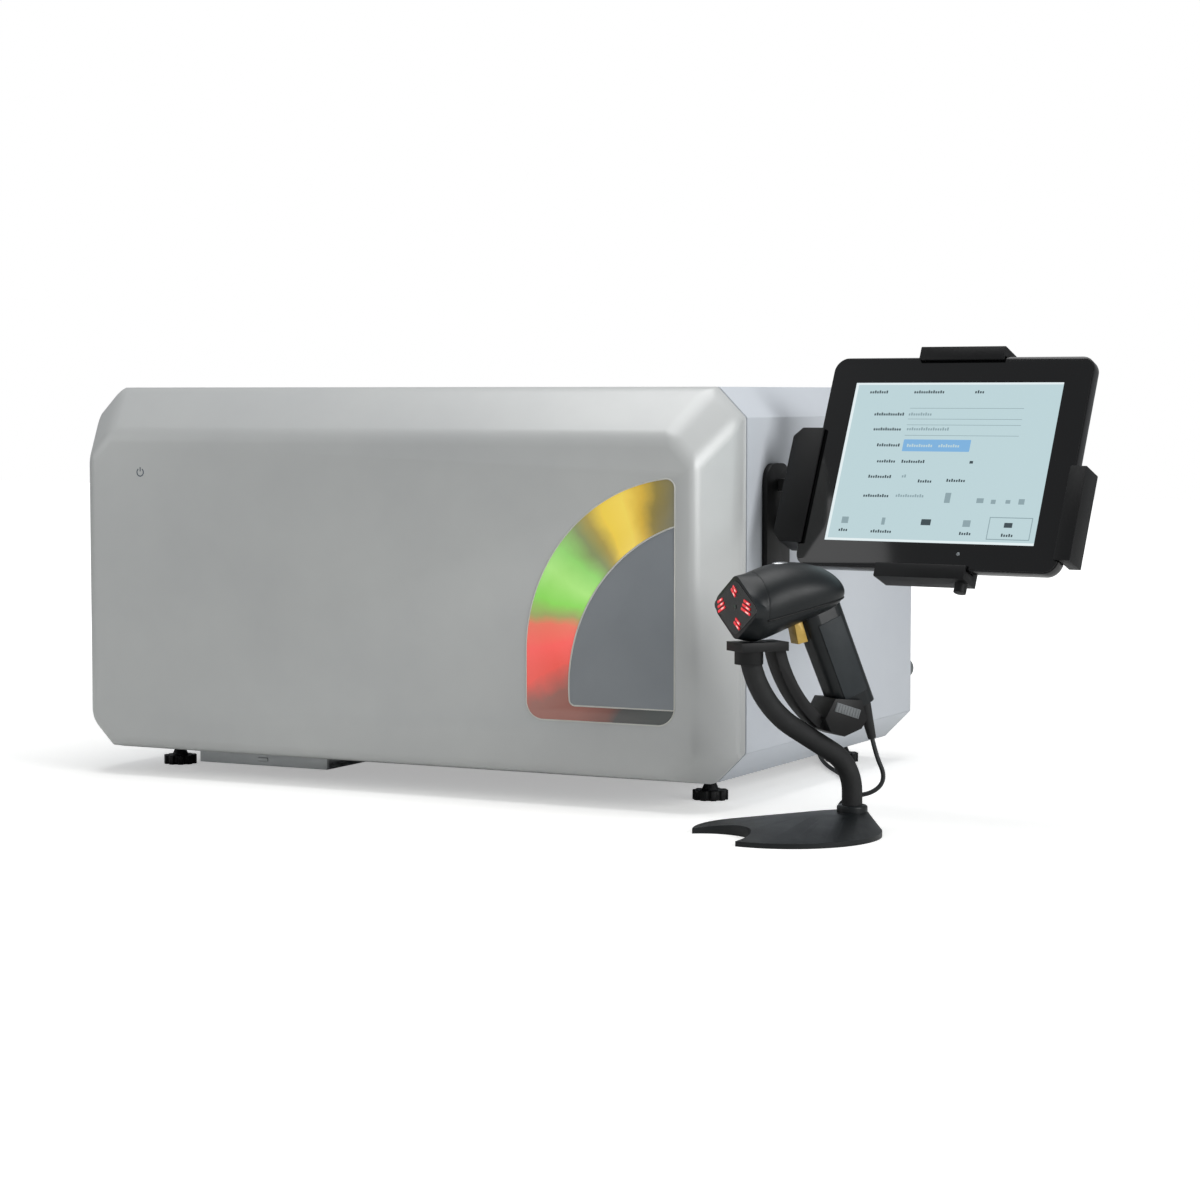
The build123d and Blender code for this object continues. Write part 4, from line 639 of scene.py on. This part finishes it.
cordToPlug = [
    (0.176, 0.446, 0.0019), (0.157, 0.446, 0.0019), (0.136, 0.4415, 0.0024), (0.118, 0.432, 0.0034),
    (0.104, 0.420, 0.0042),
]


def coilPoints():
    points = []
    perTurn = coilSettings["pointsPerTurn"]
    steps = coilSettings["turns"] * perTurn + round(perTurn * coilSettings["lastAngle"] / 360)
    lanes = coilSettings["lanes"]
    for step in range(steps):
        turn = step / perTurn
        whole = int(turn)
        blend = min(1.0, (turn - whole) * coilSettings["laneShift"])
        before = lanes[(whole - 1) % len(lanes)] if whole else lanes[0]
        offset = before + (lanes[whole % len(lanes)] - before) * blend
        layer = whole // coilSettings["lanesPerLayer"]
        climbing = layer and whole % coilSettings["lanesPerLayer"] == 0
        lift = layer + (blend - 1 if climbing else 0)
        radius = (coilSettings["radius"] + offset * mm) / math.cos(math.pi / perTurn)
        radius += coilSettings["sway"] * math.sin(step * coilSettings["swayStep"])
        angle = math.radians(coilSettings["startAngle"] + step * 360 / perTurn)
        points.append((
            coilSettings["centre"][0] + radius * math.cos(angle),
            coilSettings["centre"][1] + radius * math.sin(angle),
            coilSettings["rest"] + coilSettings["rise"] * lift,
        ))
    return points


def makeCord():
    shift = Vector((middleX, seamY, 0))
    route = [standPlace @ Vector(point) for point in cordFromScanner]
    route += [shift + Vector(point) for point in cordOnFloor + coilPoints() + cordToPlug]
    curve = bpy.data.curves.new("cord_of_scanner", "CURVE")
    curve.dimensions = "3D"
    curve.bevel_depth = cordSettings["radius"]
    curve.bevel_resolution = 4
    curve.resolution_u = 6
    curve.use_fill_caps = True
    spline = curve.splines.new("NURBS")
    spline.points.add(len(route) - 1)
    for point, place in zip(spline.points, route):
        point.co = (*place, 1)
    spline.order_u = 3
    spline.use_endpoint_u = True
    cord = bpy.data.objects.new("cord_of_scanner", curve)
    bpy.context.scene.collection.objects.link(cord)
    curve.materials.append(finishes["extrudedPvc"])
    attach(cord, "cabinet")
    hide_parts("scanner_cord", "cord_coil")


makeCord()
print("cord laid")


# Screen: a lit panel under the glass with plain bars for its words and fields
screenSettings = {
    "panel": (-91, 92, -68, 67.5), "lift": 0.06, "wordTall": 2.6, "letter": 1.35, "gap": 0.75,
    "menuWords": [(-77, -59, 59.6), (-37, -10, 59.6), (17, 25, 59.6)],
    "labels": [(-69, -42, 40.4), (-67, -41, 27.5), (-61, -40, 13.8), (-58, -40, 0), (-63, -41, -13.2),
               (-64, -41, -29.5), (-18, -5, -16.5), (7, 25, -15.5), (-36, -14, 0)],
    "faintWords": [(-38, -16, 40.5), (-37, 1, 27.8), (-35, -10, -29), (-33, -29, -12.5)],
    "faintLines": [(-38, 62, 45.5), (-38, 62, 31.2), (-38, 62, 36.2), (-38, 62, 22.2)],
    "field": (-37.7, 21.7, 8.6, 18.7),
    "darkMarks": [(24, 27, -1.2, 1), (-8, 0.5, -53.5, -48.5), (64, 71, -53.8, -49.8)],
    "greyMarks": [(8.5, 13.5, -34.5, -26), (36.5, 42.5, -34, -30), (49, 53, -34.5, -31),
                  (61.5, 65.5, -34, -31), (72.5, 77.5, -34.5, -30), (-79, -73, -53.5, -48),
                  (-43, -40, -54, -48), (28.5, 35, -54, -48.5)],
    "toolWords": [(-80, -71, -59), (-51, -32, -59.5), (27, 37, -59.5), (63, 73, -60)],
    "strips": [(-91, -88.6, -68, 67.5), (-91, 92, -68, -66), (-91, 92, 65.8, 67.5)],
}


def wordBars(x0, x1, y):
    tall = screenSettings["wordTall"]
    pitch = screenSettings["letter"] + screenSettings["gap"]
    share = (1.0, 0.72, 0.7, 0.96, 0.72, 0.7, 0.7, 0.98, 0.72)
    count = max(1, int((x1 - x0 + screenSettings["gap"]) / pitch))
    bars = []
    for index in range(count):
        x = x0 + index * pitch
        height = tall * share[(index + int(abs(x0))) % len(share)]
        bars.append((x, x + screenSettings["letter"], y - tall / 2, y - tall / 2 + height))
    return bars


def layBars(name, bars, low, high, corner, finish):
    # Flat bars on the tablet's face, with rounded corners, as one piece
    pieces = []
    for x0, x1, y0, y1 in bars:
        middle = ((x0 + x1) / 2 * mm, (y0 + y1) / 2 * mm, low * mm)
        bpy.ops.mesh.primitive_plane_add(size=1, location=middle)
        bar = bpy.context.active_object
        bar.scale = ((x1 - x0) * mm, (y1 - y0) * mm, 1)
        pieces.append(bar)
    piece = joinAll(pieces)
    bpy.ops.object.transform_apply(location=True, rotation=True, scale=True)
    editAll(piece)
    bpy.ops.mesh.bevel(offset=corner * mm, segments=2, affect="VERTICES")
    bpy.ops.mesh.extrude_region_move(TRANSFORM_OT_translate={"value": (0, 0, (high - low) * mm)})
    bpy.ops.mesh.select_all(action="SELECT")
    bpy.ops.mesh.normals_make_consistent(inside=False)
    leaveEdit()
    return settle(piece, name, tabletPlace, "holder", finish)


def frameBars(x0, x1, y0, y1, width):
    return [
        (x0, x1, y0, y0 + width), (x0, x1, y1 - width, y1),
        (x0, x0 + width, y0, y1), (x1 - width, x1, y0, y1),
    ]


lift = screenSettings["lift"]
layBars("screen_panel", [screenSettings["panel"]], 0.0, lift, 0.6, "litScreenPale")
layBars("screen_strips", screenSettings["strips"], lift, 2 * lift, 0.2, "litScreenWhite")
layBars("screen_field", [screenSettings["field"]], lift, 2 * lift, 0.6, "litScreenBlue")
layBars("screen_lines", [(x0, x1, y - 0.2, y + 0.2) for x0, x1, y in screenSettings["faintLines"]]
        + frameBars(50.7, 87.5, -64, -45.3, 0.7), lift, 2 * lift, 0.05, "litScreenGrey")
layBars("screen_faint_words", [bar for word in screenSettings["faintWords"] for bar in wordBars(*word)]
        + screenSettings["greyMarks"], lift, 2 * lift, 0.15, "litScreenGrey")
layBars("screen_words", [bar for key in ("menuWords", "labels", "toolWords")
                         for word in screenSettings[key] for bar in wordBars(*word)]
        + screenSettings["darkMarks"], lift, 2 * lift, 0.15, "litScreenInk")
layBars("screen_field_words", wordBars(-34, -10, 13.6) + wordBars(-6, 14, 13.6), 2 * lift, 3 * lift, 0.15,
        "litScreenPale")
print("screen drawn")


# Pale trims round the window and its inner panel, taken from the outlines of their faces
trimSettings = {"radii": {"status_panel": 0.8, "status_window": 0.7}, "sink": 0.3, "flush": 0.2}


def makeTrim(nodeName, radius):
    trim = nodeCopy(nodeName)
    frontY = min(vertex.co.y for vertex in trim.data.vertices)
    for face in trim.data.polygons:
        flush = abs(face.center.y - frontY) < trimSettings["flush"] * mm
        face.select = flush and face.normal.y < -0.9
    bpy.ops.object.mode_set(mode="EDIT")
    bpy.ops.mesh.select_mode(type="FACE")
    bpy.ops.mesh.region_to_loop()
    place = Matrix.Translation((0, trimSettings["sink"] * mm, 0))
    return settle(beadFromEdges(radius), nodeName + "_trim", place, "drawer", "paleTrim")


for nodeName, radius in trimSettings["radii"].items():
    makeTrim(nodeName, radius)


# Power mark on the face: an open ring with a short bar
markSettings = {
    "centre": (-240.5, 269.5), "radius": 3.4, "line": 0.9, "height": 0.15, "open": 70, "steps": 28,
    "barFoot": 0.8, "barTop": 4.5, "edge": 0.05,
}


def makePowerMark():
    halfLine = markSettings["line"] / 2
    halfHeight = markSettings["height"] / 2
    start = (0, markSettings["radius"] * mm, 0)
    bpy.ops.mesh.primitive_plane_add(size=1, location=start, rotation=(0, math.radians(90), 0))
    ring = bpy.context.active_object
    ring.scale = (markSettings["height"] * mm, markSettings["line"] * mm, 1)
    bpy.ops.object.transform_apply(location=True, rotation=True, scale=True)
    editAll(ring)
    half = math.radians(markSettings["open"] / 2)
    sweep = math.radians(360 - markSettings["open"])
    bpy.ops.transform.rotate(value=half, orient_axis="Z", center_override=(0, 0, 0))
    bpy.ops.mesh.spin(steps=markSettings["steps"], angle=sweep, center=(0, 0, 0), axis=(0, 0, 1))
    bpy.ops.mesh.select_all(action="SELECT")
    bpy.ops.mesh.remove_doubles(threshold=0.001 * mm)
    bpy.ops.mesh.normals_make_consistent(inside=False)
    leaveEdit()
    bar = roundedBlock((-halfLine, halfLine), (markSettings["barFoot"], markSettings["barTop"]),
                       (-halfHeight, halfHeight), markSettings["edge"])
    x, z = markSettings["centre"]
    place = facePlace @ Matrix.Translation((x * mm, z * mm, 0))
    return settle(joinAll([ring, bar]), "power_mark", place, "drawer", "padPrintedInk")


makePowerMark()
print("window trims and power mark made")


# Scanner's face, lens, shell seam, grip panels and the pad on its cup, in the stand's forward, left and up
# Places are (forward, up); lengths in millimetres and angles in degrees
scannerSettings = {
    "face": (45.0, 176.5), "window": (37.5, 22.0), "windowCorner": 6.5, "windowDepth": 0.5,
    "cameraRadius": 2.0, "cameraHeight": 1.0,
    "lens": (6.0, 208.8), "lensSize": (7.5, 5.0, 1.6),
    "seam": (0.0, 174.5), "seamSlope": 12, "seamRadius": 0.9,
}
slatSettings = {  # each group: left, up, length, slant and number of slats; shares are of a half length
    "groups": [
        (-23.0, 0.5, 12.0, 22, 3), (-1.5, 12.5, 8.5, -40, 2), (18.5, 1.5, 14.5, -16, 3),
        (4.0, -12.0, 10.0, -30, 2),
    ],
    "tall": 2.1, "pitch": 3.5, "proud": 0.8, "edge": 0.4, "shares": (1.0, 0.86, 0.7),
    "core": (0.1, 0.75), "coreBottom": -0.2, "coreTop": 0.15, "coreEdge": 0.1,
}
gripSettings = {
    "middle": (-40.0, 137.5), "lean": 67.2, "taper": -0.98, "side": 14.3,
    "along": (-33, 30), "across": (-10.5, 10.5), "thick": (-0.6, 0.5), "edge": 0.45,
}
padSettings = {
    "middle": (-43.5, 95.5), "lean": 18, "ridges": 9, "halfRow": 10, "halfRidge": 0.5,
    "plate": ((-11, 11), (-3.6, 3.6), (-0.2, 0.7), 0.3), "ridge": ((-3.1, 3.1), (0.6, 1.1), 0.2),
}
scannerBody = frame["nodes"]["scanner_head"]["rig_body"]
cradleBody = frame["nodes"]["scanner_cradle"]["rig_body"]


def standPoint(forward, left, up):
    return standPlace @ Vector((forward * mm, left * mm, up * mm))


def standSide(forward, up, left, lean):  # a place on the scanner's side, its x leaning up by the angle given
    side = math.copysign(1, left)
    turned = standPlace.to_3x3()
    across = turned @ Vector((math.cos(math.radians(lean)), 0, math.sin(math.radians(lean))))
    return placeOf(standPoint(forward, left, up), across, turned @ Vector((0, side, 0)))


def joined(pieces):
    piece = joinAll(pieces)
    bpy.ops.object.transform_apply(location=True, rotation=True, scale=True)
    return piece


def makeFaceWindow(place):
    bpy.ops.mesh.primitive_circle_add(vertices=4, radius=mm, fill_type="NGON")
    window = bpy.context.active_object
    window.scale = (*scannerSettings["window"], 1)
    bpy.ops.object.transform_apply(location=True, rotation=True, scale=True)
    editAll(window)
    bpy.ops.mesh.bevel(offset=scannerSettings["windowCorner"] * mm, segments=5, affect="VERTICES")
    bpy.ops.mesh.select_all(action="SELECT")
    rise = (0, 0, scannerSettings["windowDepth"] * mm)
    bpy.ops.mesh.extrude_region_move(TRANSFORM_OT_translate={"value": rise})
    bpy.ops.mesh.select_all(action="SELECT")
    bpy.ops.mesh.normals_make_consistent(inside=False)
    leaveEdit()
    settle(window, "scanner_face_window", place, scannerBody, "polishedBlackAbs")


def makeSlats(place):
    low = scannerSettings["windowDepth"]
    high = low + slatSettings["proud"]
    tall = slatSettings["tall"]
    coreStart, coreEnd = slatSettings["core"]
    coreDepth = (high + slatSettings["coreBottom"], high + slatSettings["coreTop"])
    lit, hot = [], []
    for left, up, length, slant, count in slatSettings["groups"]:
        turn = Matrix.Translation((left * mm, up * mm, 0)) @ Matrix.Rotation(math.radians(slant), 4, "Z")
        for index in range(count):
            y = (index - (count - 1) / 2) * slatSettings["pitch"]
            half = length / 2 * slatSettings["shares"][index]
            slat = roundedBlock((-half, half), (y - tall / 2, y + tall / 2), (low, high), slatSettings["edge"])
            slat.matrix_world = turn @ slat.matrix_world
            lit.append(slat)
            core = roundedBlock((coreStart * half, coreEnd * half), (y - tall / 4, y + tall / 4), coreDepth,
                                slatSettings["coreEdge"])
            core.matrix_world = turn @ core.matrix_world
            hot.append(core)
    settle(joined(lit), "scanner_lamp_slats", place, scannerBody, "litRedLens")
    settle(joined(hot), "scanner_lamp_cores", place, scannerBody, "litPaleLens")


def makeButton(name, place, radius, height, body, finish):
    middle = (0, 0, height / 2 * mm)
    bpy.ops.mesh.primitive_cylinder_add(vertices=28, radius=radius * mm, depth=height * mm, location=middle)
    button = bpy.context.active_object
    editAll(button)
    bpy.ops.mesh.bevel(offset=min(radius, height) * 0.3 * mm, segments=2, affect="EDGES")
    leaveEdit()
    smooth(button)
    return settle(button, name, place, body, finish)


def makeTopLens():
    forward, up = scannerSettings["lens"]
    bpy.ops.mesh.primitive_uv_sphere_add(segments=28, ring_count=12, radius=mm)
    lens = bpy.context.active_object
    lens.scale = scannerSettings["lensSize"]
    bpy.ops.object.transform_apply(location=True, rotation=True, scale=True)
    editAll(lens)
    bpy.ops.mesh.bisect(plane_co=(0, 0, -mm), plane_no=(0, 0, 1), clear_inner=True, use_fill=True)
    leaveEdit()
    smooth(lens, 50)
    place = standPlace @ Matrix.Translation((forward * mm, 0, up * mm))
    settle(lens, "scanner_top_lens", place, scannerBody, "brushedStainless")


def makeSeam():
    # The joint of the two half shells: the head cut by a leaning plane, its outline made a thin bead
    forward, up = scannerSettings["seam"]
    slope = math.radians(scannerSettings["seamSlope"])
    upright = standPlace.to_3x3() @ Vector((math.sin(slope), 0, math.cos(slope)))
    editAll(nodeCopy("scanner_head", flatten=False))
    bpy.ops.mesh.bisect(plane_co=standPoint(forward, 0, up), plane_no=upright)
    bead = beadFromEdges(scannerSettings["seamRadius"])
    settle(bead, "scanner_shell_seam", Matrix.Identity(4), scannerBody, "grainedBlackAbs")


def makeGripPanels():
    forward, up = gripSettings["middle"]
    taper = Matrix.Rotation(math.radians(gripSettings["taper"]), 4, "Y")
    panels = []
    for side in (-1, 1):
        panel = roundedBlock(gripSettings["along"], gripSettings["across"], gripSettings["thick"],
                             gripSettings["edge"])
        place = standSide(forward, up, side * gripSettings["side"], gripSettings["lean"])
        panel.matrix_world = place @ taper @ panel.matrix_world
        panels.append(panel)
    settle(joined(panels), "scanner_grip_panels", Matrix.Identity(4), scannerBody,
           "softTouchCoating")


def makeCupPad():
    forward, up = padSettings["middle"]
    toStand = standPlace.inverted()
    side = max((toStand @ vertex.co).y for vertex in frame["nodes"]["scanner_cradle"].data.vertices) / mm
    pieces = [roundedBlock(*padSettings["plate"])]
    halfRow = padSettings["halfRow"]
    halfRidge = padSettings["halfRidge"]
    for index in range(padSettings["ridges"]):
        x = -halfRow + index * 2 * halfRow / (padSettings["ridges"] - 1)
        pieces.append(roundedBlock((x - halfRidge, x + halfRidge), *padSettings["ridge"]))
    settle(joined(pieces), "cup_pad", standSide(forward, up, side, padSettings["lean"]), cradleBody,
           "greySilicone")


standTurn = standPlace.to_3x3()
nosePlace = placeOf(
    standPoint(scannerSettings["face"][0], 0, scannerSettings["face"][1]),
    standTurn @ Vector((0, 1, 0)),
    standTurn @ Vector((1, 0, 0)),
)
makeFaceWindow(nosePlace)
makeSlats(nosePlace)
makeButton("scanner_camera", nosePlace @ Matrix.Translation((0, 0.5 * mm, 0)), scannerSettings["cameraRadius"],
           scannerSettings["cameraHeight"], scannerBody, "coatedLensGlass")
makeTopLens()
makeSeam()
makeGripPanels()
makeCupPad()
homeSettings = {"at": (29.5, -76.5), "radius": 1.5, "height": 0.15}
homePlace = tabletPlace @ Matrix.Translation((homeSettings["at"][0] * mm, homeSettings["at"][1] * mm, 0))
makeButton("tablet_home_dot", homePlace, homeSettings["radius"], homeSettings["height"], "holder",
           "mouldedGreyAbs")
print("scanner details made")


# Pan-head screws: a domed head with a cross recess, copied to every place that is screwed
screwSettings = {
    "headRadius": 3.2, "headHeight": 1.8, "crown": 0.55, "recessHalf": 0.4, "recessReach": 1.7,
    "recessDepth": (1.1, 2.4), "edge": 0.05,
    "columns": (-300, -100, 100, 300), "rows": (38, 326), "middleRow": 182,
}


def makeScrew(name, places, body, finish="zincPlatedSteel"):
    radius = screwSettings["headRadius"] * mm
    height = screwSettings["headHeight"] * mm
    bpy.ops.mesh.primitive_cylinder_add(vertices=20, radius=radius, depth=height, location=(0, 0, height / 2))
    head = bpy.context.active_object
    bpy.ops.object.transform_apply(location=True, rotation=True, scale=True)
    bpy.ops.object.mode_set(mode="EDIT")
    bpy.ops.mesh.select_all(action="DESELECT")
    leaveEdit()
    for edge in head.data.edges:
        ends = [head.data.vertices[i].co.z for i in edge.vertices]
        edge.select = min(ends) > height * 0.9
    bpy.ops.object.mode_set(mode="EDIT")
    bpy.ops.mesh.bevel(offset=height * screwSettings["crown"], segments=3, affect="EDGES")
    leaveEdit()
    narrow = (-screwSettings["recessHalf"], screwSettings["recessHalf"])
    wide = (-screwSettings["recessReach"], screwSettings["recessReach"])
    for across, along in ((narrow, wide), (wide, narrow)):
        arm = roundedBlock(across, along, screwSettings["recessDepth"], screwSettings["edge"], 1)
        cut = head.modifiers.new("recess", "BOOLEAN")
        cut.object = arm
        cut.operation = "DIFFERENCE"
        pickOnly(head)
        bpy.ops.object.modifier_apply(modifier=cut.name)
        bpy.data.objects.remove(arm)
    smooth(head)
    twins = [copied(head, place) for place in places]
    bpy.data.objects.remove(head)
    return settle(joinAll(twins), name, Matrix.Identity(4), body, finish)


def spots(base, points):
    return [base @ Matrix.Translation((x * mm, y * mm, 0)) for x, y in points]


screwPoints = [(x, z) for x in screwSettings["columns"] for z in screwSettings["rows"]]
screwPoints += [(screwSettings["columns"][end], screwSettings["middleRow"]) for end in (0, -1)]
makeScrew("rear_panel_screws", spots(rearPlace, screwPoints), "cabinet")
print("screws set")


# Studio: pale floor that keeps the shadow, white surroundings, soft lamps
studioSettings = {
    "floor": "#f1f1ef", "floorSize": 14, "nearGlow": 0.4, "farGlow": 1.0, "near": 0.75, "far": 1.5,
    "aim": (0, 0, 0.15),
    "surround": "#eef1f4", "diffuseStrength": 0.24, "glossyStrength": 0.42,
    "lamps": [
        ("key", (2.8, -0.85, 1.15), 1.6, 52),
        ("overhead", (-0.1, 0.0, 2.3), 1.8, 31),
        ("fill", (-2.4, -1.5, 0.9), 1.6, 8),
    ],
}


def makeFloor():
    bpy.ops.mesh.primitive_plane_add(size=studioSettings["floorSize"], location=(0, 0, 0))
    floor = bpy.context.active_object
    floor.name = "studio_floor"
    editAll(floor)
    bpy.ops.mesh.subdivide(number_cuts=3)
    leaveEdit()
    material = bpy.data.materials.new("paleStudioFloor")
    material.use_nodes = True
    tree = material.node_tree
    tree.nodes.clear()
    paths = addNode(tree, "ShaderNodeLightPath").outputs
    point = addNode(tree, "ShaderNodeTexCoord").outputs["Object"]
    distance = addNode(tree, "ShaderNodeVectorMath", {"operation": "LENGTH"}, {0: point}).outputs["Value"]
    spread = addNode(tree, "ShaderNodeMapRange", {"interpolation_type": "SMOOTHSTEP"}, {
        "Value": distance, "From Min": studioSettings["near"], "From Max": studioSettings["far"],
        "To Min": studioSettings["nearGlow"], "To Max": studioSettings["farGlow"],
    }).outputs[0]
    glow = addNode(tree, "ShaderNodeMath", {"operation": "MULTIPLY"}, {
        0: paths["Is Camera Ray"], 1: spread,
    }).outputs[0]
    shader = addNode(tree, "ShaderNodeBsdfPrincipled", inputs={
        "Base Color": hexColour(studioSettings["floor"]), "Roughness": 0.9, "Specular IOR Level": 0.0,
        "Emission Color": (1, 1, 1, 1), "Emission Strength": glow,
    })
    addNode(tree, "ShaderNodeOutputMaterial", inputs={"Surface": shader.outputs[0]})
    floor.data.materials.append(material)


def makeSurround():
    world = bpy.data.worlds.new("whiteSurround")
    world.use_nodes = True
    tree = world.node_tree
    tree.nodes.clear()
    paths = addNode(tree, "ShaderNodeLightPath").outputs
    extra = studioSettings["glossyStrength"] - studioSettings["diffuseStrength"]
    strength = addNode(tree, "ShaderNodeMath", {"operation": "MULTIPLY_ADD"}, {
        0: paths["Is Glossy Ray"], 1: extra, 2: studioSettings["diffuseStrength"]}).outputs[0]
    soft = addNode(tree, "ShaderNodeBackground", inputs={
        "Color": hexColour(studioSettings["surround"]), "Strength": strength})
    white = addNode(tree, "ShaderNodeBackground", inputs={"Color": (1, 1, 1, 1), "Strength": 1.0})
    seen = addNode(tree, "ShaderNodeMath", {"operation": "MAXIMUM"}, {
        0: paths["Is Camera Ray"], 1: paths["Is Transmission Ray"]}).outputs[0]
    mixed = addNode(tree, "ShaderNodeMixShader", inputs={0: seen, 1: soft.outputs[0], 2: white.outputs[0]})
    addNode(tree, "ShaderNodeOutputWorld", inputs={"Surface": mixed.outputs[0]})
    bpy.context.scene.world = world


def makeLamps():
    for name, at, size, power in studioSettings["lamps"]:
        bpy.ops.object.light_add(type="AREA", location=at)
        lamp = bpy.context.active_object
        lamp.name = "lamp_" + name
        lamp.data.shape = "DISK"
        lamp.data.size = size
        lamp.data.energy = power
        aim = Vector(studioSettings["aim"]) - Vector(at)
        lamp.rotation_euler = aim.to_track_quat("-Z", "Y").to_euler()


makeFloor()
makeSurround()
makeLamps()
bpy.context.scene.view_settings.view_transform = "Standard"
print("studio lit")
